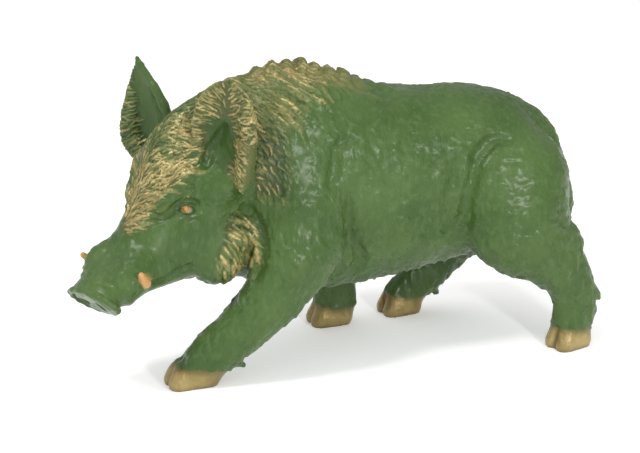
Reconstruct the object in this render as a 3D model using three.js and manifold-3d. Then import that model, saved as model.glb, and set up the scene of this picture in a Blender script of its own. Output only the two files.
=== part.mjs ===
// A standing wild boar, cast in one piece: it steps forward with the left fore hoof, with its
// head turned a little to its left and lowered. Millimetres, +Z up, the boar faces -X and its
// left side is -Y. The origin lies on the ground under the middle of the figure.
//
// The whole figure is one implicit form. Each part of the body adds masses to a list, the masses
// run together with a soft blend, and the surface where the sum is zero becomes the solid.
import * as THREE from "three";
import Module from "manifold-3d";
import { mergeVertices } from "three/addons/utils/BufferGeometryUtils.js";

// Driving dimensions, in millimetres.
const LENGTH = 336; // snout to rump
const EAR_LENGTH = 62;
const EAR_HALF_WIDTH = 19.5;
const EAR_INNER = 0.74; // inner half of the ear against the outer half
const EAR_WALL = 5;
const EAR_CUP = 12;
const EAR_SPREAD = 0.6; // how far the left ear turns outwards
const TUSK_LENGTH = 13.5;
const TUSK_RADIUS = 3.3;
const EYE_RADIUS = 3.6;
const DISC_HALF_WIDTH = 19.5; // of the snout's disc, to the middle of its rim
const DISC_HALF_HEIGHT = 10.5;
const HOOF_TOE_RADIUS = 7.4;
const TAIL_RADIUS = 4.6;
const CREST_HEIGHT = 5.5;
const SOLE_DEPTH = 6; // how far the legs run on below the ground before the soles are cut flat

const DISC_SIDES = 14; // straight pieces in the rim of the snout's disc

// Proportions below are written in millimetres of a figure 336 mm long.
const mm = LENGTH / 336;
const at = (x, y, z) => new THREE.Vector3(x, y, z).multiplyScalar(mm);

// Where the head joins: its axes are the way the snout points, the boar's left, and the brow.
const HEAD_TURN = THREE.MathUtils.degToRad(25);
const HEAD_DROP = THREE.MathUtils.degToRad(48);
const CROWN = at(-92, -8, 151);
const snoutwards = new THREE.Vector3(
  -Math.cos(HEAD_TURN) * Math.cos(HEAD_DROP),
  -Math.sin(HEAD_TURN) * Math.cos(HEAD_DROP),
  -Math.sin(HEAD_DROP),
);
const leftwards = new THREE.Vector3(Math.sin(HEAD_TURN), -Math.cos(HEAD_TURN), 0);
const browwards = new THREE.Vector3().crossVectors(leftwards, snoutwards).negate();
const onHead = (along, left, up) =>
  CROWN.clone()
    .addScaledVector(snoutwards, along * mm)
    .addScaledVector(leftwards, left * mm)
    .addScaledVector(browwards, up * mm);

// Moves the figure so that the origin is under the middle of its box.
const CENTRING = at(1.5, 0.75, 0);

// Implicit masses.
const softMin = (a, b, k) => {
  const h = Math.max(k - Math.abs(a - b), 0) / k;
  return Math.min(a, b) - h * h * k * 0.25;
};

// A tapered rod from a to b. squash below 1 flattens it from side to side.
function rod(a, b, radiusA, radiusB, { blend = 3, squash = 1, cut = false } = {}) {
  const ab = b.clone().sub(a);
  const lengthSq = Math.max(ab.lengthSq(), 1e-9);
  const value = (x, y, z) => {
    const along = (x - a.x) * ab.x + (y - a.y) * ab.y + (z - a.z) * ab.z;
    const t = Math.min(Math.max(along / lengthSq, 0), 1);
    const px = x - a.x - ab.x * t;
    const py = (y - a.y - ab.y * t) / squash;
    const pz = z - a.z - ab.z * t;
    return Math.sqrt(px * px + py * py + pz * pz) - (radiusA + (radiusB - radiusA) * t);
  };
  const middle = a.clone().add(b).multiplyScalar(0.5);
  const reach = Math.sqrt(lengthSq) / 2 + Math.max(radiusA, radiusB);
  return { value, middle, reach, blend: blend * mm, cut };
}

// A rod through several points along a smooth curve, with a radius at each point.
function limb(points, radii, { steps = 3, ...how } = {}) {
  const curve = new THREE.CatmullRomCurve3(points, false, "centripetal");
  const spans = (points.length - 1) * steps;
  const rodAt = (i) => {
    const s = (i / spans) * (points.length - 1);
    const low = Math.min(Math.floor(s), points.length - 2);
    return THREE.MathUtils.lerp(radii[low], radii[low + 1], s - low);
  };
  const made = [];
  for (let i = 0; i < spans; i++) {
    const [from, to] = [curve.getPoint(i / spans), curve.getPoint((i + 1) / spans)];
    made.push(rod(from, to, rodAt(i), rodAt(i + 1), how));
  }
  return made;
}

// An ellipsoid with its three half sizes along its own axes, which default to X, Y and Z.
function egg(centre, halves, { axes = null, blend = 6, cut = false } = {}) {
  const world = [new THREE.Vector3(1, 0, 0), new THREE.Vector3(0, 1, 0), new THREE.Vector3(0, 0, 1)];
  const [u, v, w] = axes ?? world;
  const [hu, hv, hw] = halves;
  const value = (x, y, z) => {
    const [px, py, pz] = [x - centre.x, y - centre.y, z - centre.z];
    const a = (px * u.x + py * u.y + pz * u.z) / hu;
    const b = (px * v.x + py * v.y + pz * v.z) / hv;
    const c = (px * w.x + py * w.y + pz * w.z) / hw;
    const k0 = Math.sqrt(a * a + b * b + c * c);
    const k1 = Math.sqrt((a / hu) ** 2 + (b / hv) ** 2 + (c / hw) ** 2);
    return k1 < 1e-9 ? -Math.min(hu, hv, hw) : (k0 * (k0 - 1)) / k1;
  };
  return { value, middle: centre, reach: Math.max(hu, hv, hw), blend: blend * mm, cut };
}

// A smooth curve through stations: the value at x of column c.
function station(rows, c, x) {
  if (x <= rows[0][0]) return rows[0][c];
  if (x >= rows[rows.length - 1][0]) return rows[rows.length - 1][c];
  let i = 0;
  while (x > rows[i + 1][0]) i++;
  const [p, q] = [rows[i], rows[i + 1]];
  const before = rows[Math.max(i - 1, 0)];
  const after = rows[Math.min(i + 2, rows.length - 1)];
  const span = q[0] - p[0];
  const t = (x - p[0]) / span;
  const slopeP = ((q[c] - before[c]) / (q[0] - before[0])) * span;
  const slopeQ = ((after[c] - p[c]) / (after[0] - p[0])) * span;
  const t2 = t * t;
  const t3 = t2 * t;
  const start = (2 * t3 - 3 * t2 + 1) * p[c] + (t3 - 2 * t2 + t) * slopeP;
  const end = (3 * t2 - 2 * t3) * q[c] + (t3 - t2) * slopeQ;
  return start + end;
}

// A body lofted along an axis: each station is [along, top, widest level, bottom, half width].
// nose and tail are the lengths over which its two ends round off.
function loft(rows, toLocal, middle, reach, { nose, tail, power = 2.2, blend = 8 }) {
  const [from, to] = [rows[0][0], rows[rows.length - 1][0]];
  const rounding = (into, length) => Math.sqrt(Math.max(1 - ((length - into) / length) ** 2, 0.0004));
  const value = (x, y, z) => {
    const [along, side, up] = toLocal(x, y, z);
    const inside = Math.min(Math.max(along, from), to);
    const beyond = Math.abs(along - inside);
    let cap = 1;
    if (inside < from + nose) cap = rounding(inside - from, nose);
    if (inside > to - tail) cap = rounding(to - inside, tail);
    const widest = station(rows, 2, inside);
    const half = Math.abs(station(rows, up > widest ? 1 : 3, inside) - widest) * cap;
    const width = station(rows, 4, inside) * cap;
    const sum = Math.abs(side / width) ** power + Math.abs((up - widest) / half) ** power;
    const d = (sum ** (1 / power) - 1) * Math.min(half, width);
    return beyond > 0 ? Math.hypot(Math.max(d, 0), beyond) : d;
  };
  return { value, middle, reach, blend: blend * mm, cut: false };
}

// Trunk and neck.
const TRUNK = [
  [-78, 158, 126, 92, 27],
  [-52, 182, 122, 62, 38],
  [-28, 188.5, 116, 50, 43],
  [0, 181, 110, 46, 43],
  [30, 171, 106, 49, 42.5],
  [60, 168, 106, 53, 41],
  [88, 167, 108, 60, 41],
  [114, 160, 108, 70, 41],
  [135, 147.5, 106, 78, 38],
  [153, 132, 104, 83, 34],
].map((row) => row.map((v) => v * mm));
const backHeight = (x) => station(TRUNK, 1, x);

function trunk() {
  const toLocal = (x, y, z) => [x, y, z];
  const nape = CROWN.clone().add(at(4, 0, -17));
  return [
    loft(TRUNK, toLocal, at(41, 0, 110), 150 * mm, { nose: 34 * mm, tail: 44 * mm, blend: 10 }),
    rod(at(-52, -2, 141), nape, 38 * mm, 31 * mm, { blend: 14, squash: 0.86 }),
    rod(at(-40, -1, 90), at(-72, -5, 95), 40 * mm, 27 * mm, { blend: 12, squash: 0.84 }),
    rod(at(-92, -8, 161), at(-62, -4, 174), 11 * mm, 12 * mm, { blend: 9 }),
  ];
}

// Head.
const HEAD = [
  [-14, 12, -24, -60, 22],
  [8, 13, -26, -77, 29.5],
  [28, 12.5, -28, -82, 29],
  [44, 9.5, -28, -79, 26.5],
  [60, 5.5, -22, -63, 23],
  [78, 3.5, -16, -42, 21],
  [94, 3.5, -8, -26, 20],
  [108, 4.5, -7, -20, 18.5],
].map((row) => row.map((v) => v * mm));

function head() {
  const toLocal = (x, y, z) => {
    const [px, py, pz] = [x - CROWN.x, y - CROWN.y, z - CROWN.z];
    return [
      px * snoutwards.x + py * snoutwards.y + pz * snoutwards.z,
      px * leftwards.x + py * leftwards.y + pz * leftwards.z,
      px * browwards.x + py * browwards.y + pz * browwards.z,
    ];
  };
  const face = { axes: [snoutwards, leftwards, browwards] };
  const along = (a, b, c) => [a * mm, b * mm, c * mm];
  const ends = { nose: 18 * mm, tail: 6 * mm, power: 2.1, blend: 10 };
  const masses = [
    loft(HEAD, toLocal, onHead(48, 0, -26), 84 * mm, ends),
    // The muzzle, the root of the snout's disc, and the lip over the right tusk.
    egg(onHead(101, -2, -5), along(15, 17.5, 11), { ...face, blend: 5 }),
    egg(onHead(110, -2, -4.5), along(5, 19, 10.5), { ...face, blend: 6 }),
    egg(onHead(89, -15, -4), along(9, 7, 8.5), { ...face, blend: 4 }),
  ];
  // The snout's disc: a flat front with a raised rim.
  const disc = onHead(112, -2, -4.5);
  const facing = snoutwards.clone().addScaledVector(leftwards, 0.1).addScaledVector(browwards, 0.1);
  const ahead = disc.clone().addScaledVector(facing.normalize(), 61.5 * mm);
  masses.push(egg(ahead, along(60, 60, 60), { blend: 1.2, cut: true }));
  const onRim = (i) => {
    const turn = (2 * Math.PI * i) / DISC_SIDES;
    const [b, c] = [DISC_HALF_WIDTH * Math.cos(turn), DISC_HALF_HEIGHT * Math.sin(turn)];
    const spot = disc.clone().addScaledVector(leftwards, b).addScaledVector(browwards, c);
    return spot.addScaledVector(snoutwards, -0.1 * (b + c));
  };
  for (let i = 0; i < DISC_SIDES; i += 1) {
    masses.push(rod(onRim(i), onRim(i + 1), 1.7 * mm, 1.7 * mm, { blend: 1.2 }));
  }
  for (const side of [-1, 1]) {
    // Cheek, jowl under the ruff, lip above the tusk, and brow.
    masses.push(egg(onHead(36, 20 * side, -34), along(28, 12, 22), { ...face, blend: 8 }));
    masses.push(egg(onHead(44, 23 * side, -48), along(22, 15, 16), { ...face, blend: 8 }));
    masses.push(egg(onHead(88, 13 * side, -6), along(13, 9, 9), { ...face, blend: 8 }));
    masses.push(rod(onHead(22, 20 * side, 4), onHead(44, 16 * side, 2), 5 * mm, 3.5 * mm, { blend: 6 }));
    // The eye in its socket, and the fold under it.
    masses.push(egg(onHead(39, 26.5 * side, -8), along(6, 4, 4.5), { ...face, blend: 3, cut: true }));
    const eyeball = [EYE_RADIUS * 1.2, EYE_RADIUS, EYE_RADIUS];
    masses.push(egg(onHead(39, 23.4 * side, -8), eyeball, { ...face, blend: 1 }));
    const [foldStart, foldEnd] = [onHead(53, 21 * side, -13), onHead(42, 26.5 * side, -15)];
    masses.push(rod(foldStart, foldEnd, 3.4 * mm, 3 * mm, { blend: 4 }));
    // Tusk.
    const root = onHead(side > 0 ? 88 : 91, 21 * side, -12);
    const rise = browwards.clone().addScaledVector(leftwards, 0.55 * side);
    rise.addScaledVector(snoutwards, -0.08).normalize();
    const tip = root.clone().addScaledVector(rise, TUSK_LENGTH);
    masses.push(rod(root, tip, TUSK_RADIUS, TUSK_RADIUS * 0.55, { blend: 0.8 }));
    // Nostril.
    const [mouthOfIt, depth] = [onHead(119, 8.5 * side - 2, -5.5), onHead(108, 7.5 * side - 2, -4.5)];
    masses.push(rod(mouthOfIt, depth, 4.2 * mm, 3 * mm, { blend: 1.5, cut: true }));
  }
  return masses;
}

// Ears.
// The right ear ends in a point and the left one is blunt. Each has an outline, as a share of the
// half width at s of the way up, and a section across: its square, linear and constant parts.
const POINTED = {
  outline: (s, outer) => (outer ? 1 : EAR_INNER) * (0.76 + 2.4 * s) * (1 - s) ** 1.15,
  section: [1, 0.55, 0.9],
};
const BLUNT = {
  outline: (s, outer) => (outer ? 1 : 0.9) * (0.92 + 0.3 * s) * (1 - s ** 4) ** 0.6,
  section: [0.95, 0.35, 0.8],
};

// A cupped leaf. It grows from base along the direction up, opens towards open, and its outer
// margin, on the side called lateral, curls forward.
function leaf(base, up, open, lateral, { length, halfWidth, wall, cup, form, blend = 5 }) {
  const [square, lean, back] = form.section;
  const bowlAt = (s, u) => cup * (1 - s * 0.6) * (square * u * u + lean * u - back);
  const t = up.clone().normalize();
  const n = open.clone().addScaledVector(t, -open.dot(t)).normalize();
  const w = new THREE.Vector3().crossVectors(n, t).multiplyScalar(lateral);
  const value = (x, y, z) => {
    const [px, py, pz] = [x - base.x, y - base.y, z - base.z];
    const along = (px * t.x + py * t.y + pz * t.z) / length;
    const across = px * w.x + py * w.y + pz * w.z;
    const out = px * n.x + py * n.y + pz * n.z;
    const s = Math.min(Math.max(along, 0), 1);
    const half = halfWidth * form.outline(s, across > 0);
    const u = Math.min(Math.max(across, -half), half) / halfWidth;
    const slope = (cup * (1 - s * 0.6) * (2 * square * u + lean)) / halfWidth;
    const thick = (wall / 2) * (1 - 0.2 * s) * (1 + 0.5 * Math.max(u, 0));
    const shell = Math.abs(out - bowlAt(s, u)) / Math.sqrt(1 + slope * slope);
    const rim = Math.max(Math.abs(across) - half + thick * 0.6, 0);
    const end = Math.abs(along - s) * length;
    return Math.hypot(shell, rim, end) - thick;
  };
  const middle = base.clone().addScaledVector(t, length / 2);
  // The point on the middle of the leaf, s of the way up and u of the way out to a margin.
  const point = (s, u) => {
    const across = halfWidth * form.outline(s, u > 0) * u;
    return base
      .clone()
      .addScaledVector(t, s * length)
      .addScaledVector(w, across)
      .addScaledVector(n, bowlAt(s, across / halfWidth));
  };
  return { value, middle, reach: length / 2 + halfWidth, blend: blend * mm, cut: false, point };
}

function ears() {
  const masses = [];
  const level = new THREE.Vector3(snoutwards.x, snoutwards.y, 0).normalize();
  const size = { length: EAR_LENGTH, halfWidth: EAR_HALF_WIDTH, wall: EAR_WALL, cup: EAR_CUP };
  for (const side of [-1, 1]) {
    // The right ear sits a little deeper and leans out less.
    const base = side > 0 ? onHead(14, 31, -10) : onHead(15, -29, -12);
    const up = onHead(-28, side > 0 ? 43 : -48, 32).sub(base);
    const spread = side > 0 ? EAR_SPREAD : EAR_SPREAD * 0.2;
    const open = level.clone().addScaledVector(leftwards, side * spread);
    const ear = leaf(base, up, open, -side, { ...size, form: side > 0 ? BLUNT : POINTED });
    masses.push(ear);
    // The outer margin rolls into a thick hairy band, the inner one into a thinner one.
    const outer = [-0.02, 0.14, 0.32, 0.5, 0.7, 0.88].map((s) => ear.point(s, 0.86));
    const outerRadii = [3, 4.6, 4.8, 4.4, 3.2, 2].map((r) => r * mm);
    masses.push(...limb(outer, outerRadii, { steps: 1, blend: 3 }));
    const inner = [0.1, 0.3, 0.5, 0.7].map((s) => ear.point(s, -0.9));
    const innerRadii = [3.6, 3.2, 2.4, 1.7].map((r) => r * mm);
    masses.push(...limb(inner, innerRadii, { steps: 1, blend: 3 }));
    // The root of the ear swells out of the skull behind the cup.
    masses.push(egg(onHead(14, 27 * side, -16), [12 * mm, 12 * mm, 13 * mm], { blend: 9 }));
  }
  return masses;
}

// Legs.
// heading is the way a hoof points, seen from above: 0 is straight ahead, positive to the boar's left.
function hoof(x, y, heading, length = 30) {
  const h = THREE.MathUtils.degToRad(heading);
  const ahead = new THREE.Vector3(-Math.cos(h), -Math.sin(h), 0);
  const left = new THREE.Vector3(Math.sin(h), -Math.cos(h), 0);
  const centre = at(x, y, 0);
  const spot = (a, l, up) =>
    centre.clone().addScaledVector(ahead, a * mm).addScaledVector(left, l * mm).setZ(up * mm);
  const masses = [];
  const toe = HOOF_TOE_RADIUS;
  const run = length / 2 - toe / mm;
  for (const side of [-1, 1]) {
    const [heel, tip] = [spot(-run, 4.4 * side, 4), spot(run, 4 * side, 3)];
    masses.push(rod(heel, tip, toe, toe * 0.9, { blend: 2.5 }));
    const [back, front] = [spot(-run + 1.5, 4 * side, 9.5), spot(run - 3, 3.6 * side, 8.5)];
    masses.push(rod(back, front, toe * 0.96, toe * 0.86, { blend: 4 }));
  }
  // The cleft between the toes.
  const [low, high] = [spot(length / 2 + 1, 0, -8), spot(length / 2 - 4, 0, 14)];
  masses.push(rod(low, high, 1.8 * mm, 1.4 * mm, { blend: 2.2, cut: true }));
  return masses;
}

function leg(points, radii, squash) {
  const path = points.map(([x, y, z]) => at(x, y, z));
  return limb(path, radii.map((r) => r * mm), { blend: 9, squash });
}

// A tuft or a joint that stands out of a leg, from one point to another.
function spur(from, to, radiusFrom, radiusTo, blend) {
  return rod(at(...from), at(...to), radiusFrom * mm, radiusTo * mm, { blend });
}

function legs() {
  // Points down each leg, then the radius at each point.
  const leftFore = [
    [-28, -25, 108], [-32, -35, 82], [-48.5, -38, 55],
    [-69.5, -36, 33.5], [-87, -32, 17.5], [-95, -29, 5],
  ];
  const rightFore = [
    [-28, 25, 108], [-18, 35, 78], [5, 39, 52],
    [15, 41, 32], [16.5, 42, 14], [14.5, 42, 4],
  ];
  const leftHind = [
    [110, -24, 107], [114, -34, 83], [133, -40, 63],
    [148.5, -41, 42], [150, -41, 22], [148, -40, 6],
  ];
  const rightHind = [
    [110, 24, 106], [96, 34, 76], [98, 40, 54],
    [85.5, 43, 33], [68, 45, 16], [63, 46, 5],
  ];
  return [
    // Left fore leg, reaching forward.
    ...leg(leftFore, [30, 21.5, 14.8, 11.8, 10.2, 9], 0.8),
    ...hoof(-98, -28, 6, 33),
    spur([-79, -33, 24], [-66, -33, 10.5], 7, 1.3, 4),
    // Right fore leg, under the body.
    ...leg(rightFore, [30, 20, 13, 10, 9.4, 9], 0.8),
    ...hoof(12, 42, 5, 29),
    // Left hind leg, pushing off behind.
    ...leg(leftHind, [38, 28, 16, 10.5, 9.2, 9], 0.72),
    spur([138, -40, 68], [146, -41, 71], 8, 4, 5),
    spur([154, -41, 42], [165, -42, 33], 6.5, 2.5, 4),
    spur([145, -42, 78], [150.5, -42, 70], 4.5, 3.6, 4),
    spur([156, -41, 26], [162, -41, 23], 4.5, 3, 3),
    ...hoof(147, -40, 22, 28),
    // Right hind leg, stepping forward.
    ...leg(rightHind, [38, 24, 13.5, 10.5, 9.4, 9], 0.72),
    spur([78, 44, 20], [88, 44, 11], 5, 1.5, 3),
    spur([99, 41, 48], [112.5, 41, 37.5], 8, 1.3, 4),
    ...hoof(62, 46, 10, 28),
  ];
}

// Tail and crest.
function tail() {
  const path = [
    at(116, 0, 148), at(134, 0, 139), at(147, 0, 122),
    at(154, 0, 100), at(156, 0, 78), at(152, 0, 62),
  ];
  return limb(path, [1.6, 1.2, 1, 0.9, 0.9, 0.6].map((share) => TAIL_RADIUS * share), { blend: 8 });
}

function crest() {
  const masses = [];
  const lumps = 13;
  for (let i = 0; i < lumps; i++) {
    const x = THREE.MathUtils.lerp(-72, 34, i / (lumps - 1)) * mm;
    const swell = Math.sin((Math.PI * (i + 0.6)) / (lumps + 0.2));
    const height = CREST_HEIGHT * (0.95 + 0.25 * Math.sin(i * 2.3)) * swell;
    const centre = new THREE.Vector3(x, 0, backHeight(x) - 3 * mm);
    masses.push(egg(centre, [5 * mm, 9.5 * mm, height + 3.4 * mm], { blend: 2 }));
  }
  return masses;
}

// Locks of hair.
// Each lock lies on the form made so far: a thin rod from its root to its tip, proud of the skin.
function onSkin(point, form, lift) {
  const [x, y, z] = ontoSurface([point.x, point.y, point.z], 30 * mm, form);
  const skin = new THREE.Vector3(x, y, z);
  const e = 0.1;
  const rise = (dx, dy, dz) => field(x + dx, y + dy, z + dz, form) - field(x, y, z, form);
  const out = new THREE.Vector3(rise(e, 0, 0), rise(0, e, 0), rise(0, 0, e));
  return skin.addScaledVector(out.normalize(), lift);
}

function lock(root, sweep, form, { length = 16, radius = 2.6 } = {}) {
  const r = radius * mm;
  const step = sweep.clone().normalize().multiplyScalar((length * mm) / 2);
  const start = onSkin(root, form, -0.3 * r);
  const middle = onSkin(start.clone().add(step), form, 0.25 * r);
  const tip = onSkin(middle.clone().add(step), form, 0.3 * r);
  return limb([start, middle, tip], [r * 0.7, r, r * 0.35], { steps: 1, blend: 1.6 });
}

function locks(form) {
  const masses = [];
  const wobble = (n) => Math.sin(n * 12.9898) * 0.5;
  for (const side of [-1, 1]) {
    // Ruff round the jowl, in three rows of long pointed locks.
    for (let row = 0; row < 3; row++)
      for (let i = 0; i < 6; i++) {
        const drop = 24 + row * 9 + wobble(i + row * 5) * 4;
        const root = onHead(24 + i * 7.5 + row * 2, (41 - i * 1.4) * side, -drop);
        const sweep = browwards.clone().negate().addScaledVector(leftwards, 0.3 * side);
        sweep.addScaledVector(snoutwards, 0.1 + wobble(i * 3 + row) * 0.5);
        masses.push(...lock(root, sweep, form, { length: 17 - row, radius: 3.6 }));
      }
    // Mane down the side of the neck, shorter towards the withers.
    for (let row = 0; row < 4; row++)
      for (let i = 0; i < 6 - row; i++) {
        const x = -64 + i * 14 + row * 5 + wobble(i + row * 5) * 4;
        const root = at(x, -(9 + row * 8) * side, 190 - row * 9);
        const sweep = new THREE.Vector3(0.7, -0.35 * side, -0.6 - row * 0.08);
        masses.push(...lock(root, sweep, form, { length: 19, radius: 3 }));
      }
  }
  return masses;
}

// Grooves.
// Folds of skin, the crease over the eye and the mouth line, pressed into the form made so far.
// Points are given for the boar's left side: on the body in X, Y, Z, on the head in its own axes.
function grooves(form) {
  const masses = [];
  for (const side of [-1, 1]) {
    const press = (path, radii, blend) => {
      const sunk = path.map((p, i) => onSkin(p, form, 0.3 * radii[i] * mm));
      masses.push(...limb(sunk, radii.map((r) => r * mm), { blend, cut: true }));
    };
    const fold = (points, radii, blend) =>
      press(points.map(([x, y, z]) => at(x, y * side, z)), radii, blend);
    const crease = (points, radii, blend) =>
      press(points.map(([a, b, c]) => onHead(a, b * side, c)), radii, blend);
    const haunch = [
      [102, -37, 142], [93, -37, 141], [87, -38, 137], [82, -39, 130],
      [79, -41, 119], [75, -41, 104], [74, -38, 88],
    ];
    const flank = [[70, -39, 129], [66, -41, 114], [64, -41, 99], [68, -38, 85]];
    const behindShoulder = [
      [0, -41, 116], [-1.5, -43, 100], [0.5, -43, 90], [5, -41, 81], [8.5, -40, 74], [7, -37, 66],
    ];
    const overShoulder = [[-9, -39, 143], [-10, -41, 135], [-14, -42, 126]];
    const behindJowl = [[-64, -39, 111], [-59, -41, 101], [-55.5, -42, 91], [-55, -42, 83], [-58.5, -41, 73]];
    const besideTail = [
      [128, -8, 143], [140, -9, 137], [146, -10, 126], [147, -10, 112], [146, -10, 96], [144, -10, 80],
    ];
    const overEye = [[56, 13, 1], [49, 17, -1], [42, 19, -2], [37, 20.5, -3.4], [32, 25, -10]];
    const mouth = [[84, 21, -18], [82, 19, -23], [79, 19, -26], [73, 20, -29], [64, 24, -33]];
    fold(haunch, [1.4, 1.8, 2, 2.2, 2.4, 2.8, 3.4], 5);
    fold(flank, [1.4, 1.7, 1.9, 2], 11);
    fold(behindShoulder, [1.2, 1.8, 2, 2, 2, 1.6], 5);
    fold(overShoulder, [1.1, 1.5, 1.2], 5);
    fold(behindJowl, [1.6, 2.4, 2.8, 3, 3], 5);
    fold(besideTail, [1, 1.4, 1.8, 2, 2.2, 2], 5);
    crease(overEye, [1.2, 1.8, 2, 2, 1.6], 2.5);
    crease(mouth, [1.4, 1.8, 2, 1.9, 1.2], 1.5);
  }
  return masses;
}

const FORM = [...trunk(), ...head(), ...ears(), ...legs(), ...tail(), ...crest()];
const SHAPES = FORM.filter((m) => !m.cut);
const HOLLOWS = FORM.filter((m) => m.cut);

const MASSES = [...SHAPES, ...locks(FORM), ...HOLLOWS, ...grooves(FORM)];

// The masses that can matter within a distance of a point where the field has a known value.
function nearby(x, y, z, value, distance) {
  return MASSES.filter((m) => {
    const near = Math.hypot(x - m.middle.x, y - m.middle.y, z - m.middle.z) - m.reach;
    return m.cut ? near < m.blend - value + 2 * distance : near < value + m.blend + 2 * distance;
  });
}

function field(x, y, z, masses) {
  let d = 1e3;
  for (const m of masses) {
    if (m.cut) continue;
    const near = Math.hypot(x - m.middle.x, y - m.middle.y, z - m.middle.z) - m.reach;
    if (near > d + m.blend) continue;
    d = softMin(d, m.value(x, y, z), m.blend);
  }
  for (const m of masses) {
    if (!m.cut) continue;
    const near = Math.hypot(x - m.middle.x, y - m.middle.y, z - m.middle.z) - m.reach;
    if (near > m.blend - d) continue;
    d = -softMin(-d, m.value(x, y, z), m.blend);
  }
  return d;
}

// Surface.
// Slides a point to the surface along the steepest way, by no more than a given distance.
function ontoSurface([x, y, z], most, masses) {
  const e = 0.05;
  let [px, py, pz] = [x, y, z];
  for (let pass = 0; pass < 2; pass++) {
    const f = field(px, py, pz, masses);
    const gx = (field(px + e, py, pz, masses) - f) / e;
    const gy = (field(px, py + e, pz, masses) - f) / e;
    const gz = (field(px, py, pz + e, masses) - f) / e;
    const g = Math.max(gx * gx + gy * gy + gz * gz, 0.2);
    px -= (gx * f) / g;
    py -= (gy * f) / g;
    pz -= (gz * f) / g;
  }
  const moved = Math.hypot(px - x, py - y, pz - z);
  const share = moved > most ? most / moved : 1;
  return [x + (px - x) * share, y + (py - y) * share, z + (pz - z) * share];
}

// The zero surface of the field over a box of cubes, each split into six tetrahedra.
function polygonise(low, high, step) {
  const size = [0, 1, 2].map((i) => Math.ceil((high.getComponent(i) - low.getComponent(i)) / step) + 1);
  const [nx, ny, nz] = size;
  const values = new Float32Array(nx * ny * nz).fill(NaN);
  const index = (i, j, k) => (k * ny + j) * nx + i;
  let local = MASSES;
  const valueAt = (i, j, k) => {
    const n = index(i, j, k);
    if (Number.isNaN(values[n])) {
      const value = field(low.x + i * step, low.y + j * step, low.z + k * step, local);
      values[n] = value || 1e-6;
    }
    return values[n];
  };
  const corners = [0, 1, 2, 3, 4, 5, 6, 7].map((c) => [c & 1, (c >> 1) & 1, c >> 2]);
  const tetrahedra = [[0, 1, 3, 7], [0, 5, 1, 7], [0, 3, 2, 7], [0, 2, 6, 7], [0, 4, 5, 7], [0, 6, 4, 7]];
  const single = [[0, 1, 2, 3], [1, 0, 3, 2], [2, 0, 1, 3], [3, 0, 2, 1]];
  const pairs = {
    3: [0, 1, 2, 3],
    5: [0, 2, 3, 1],
    9: [0, 3, 1, 2],
    6: [1, 2, 0, 3],
    10: [1, 3, 2, 0],
    12: [2, 3, 0, 1],
  };
  const positions = [];
  const faces = [];
  const known = new Map();
  const crossing = (p, q) => {
    const [a, b] = p.n < q.n ? [p, q] : [q, p];
    const key = a.n * 8 + ((b.i - a.i) & 1) + ((b.j - a.j) & 1) * 2 + ((b.k - a.k) & 1) * 4;
    let v = known.get(key);
    if (v === undefined) {
      const t = Math.min(Math.max(a.v / (a.v - b.v), 0.06), 0.94);
      v = positions.length / 3;
      const spot = [
        low.x + (a.i + (b.i - a.i) * t) * step,
        low.y + (a.j + (b.j - a.j) * t) * step,
        low.z + (a.k + (b.k - a.k) * t) * step,
      ];
      positions.push(...ontoSurface(spot, step * 0.4, local));
      known.set(key, v);
    }
    return v;
  };
  const coarse = 4;
  for (let K = 0; K < nz - 1; K += coarse)
    for (let J = 0; J < ny - 1; J += coarse)
      for (let I = 0; I < nx - 1; I += coarse) {
        const half = (coarse / 2) * step;
        const centre = [low.x + I * step + half, low.y + J * step + half, low.z + K * step + half];
        const mid = field(...centre, MASSES);
        const corner = (coarse / 2 + 1) * step * 1.8;
        if (Math.abs(mid) > corner * 1.25) continue;
        local = nearby(...centre, mid, corner);
        for (let k = K; k < Math.min(K + coarse, nz - 1); k++)
          for (let j = J; j < Math.min(J + coarse, ny - 1); j++)
            for (let i = I; i < Math.min(I + coarse, nx - 1); i++) {
              const cell = corners.map(([di, dj, dk]) => {
                const v = valueAt(i + di, j + dj, k + dk);
                return { i: i + di, j: j + dj, k: k + dk, n: index(i + di, j + dj, k + dk), v };
              });
              const signs = cell.reduce((s, c) => s + (c.v < 0 ? 1 : 0), 0);
              if (signs === 0 || signs === 8) continue;
              for (const tet of tetrahedra) {
                const p = tet.map((c) => cell[c]);
                const inside = p.reduce((s, c, n) => s | (c.v < 0 ? 1 << n : 0), 0);
                if (inside === 0 || inside === 15) continue;
                const count = p.filter((c) => c.v < 0).length;
                if (count === 2) {
                  const [a, b, c, d] = pairs[inside].map((n) => p[n]);
                  const quad = [crossing(a, c), crossing(a, d), crossing(b, d), crossing(b, c)];
                  faces.push([quad[0], quad[1], quad[2]], [quad[0], quad[2], quad[3]]);
                } else {
                  const alone = p.findIndex((c) => (c.v < 0) === (count === 1));
                  const [a, b, c, d] = single[alone].map((n) => p[n]);
                  const tri = [crossing(a, b), crossing(a, c), crossing(a, d)];
                  faces.push(count === 1 ? tri : [tri[0], tri[2], tri[1]]);
                }
              }
            }
      }
  return { positions, faces };
}

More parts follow.
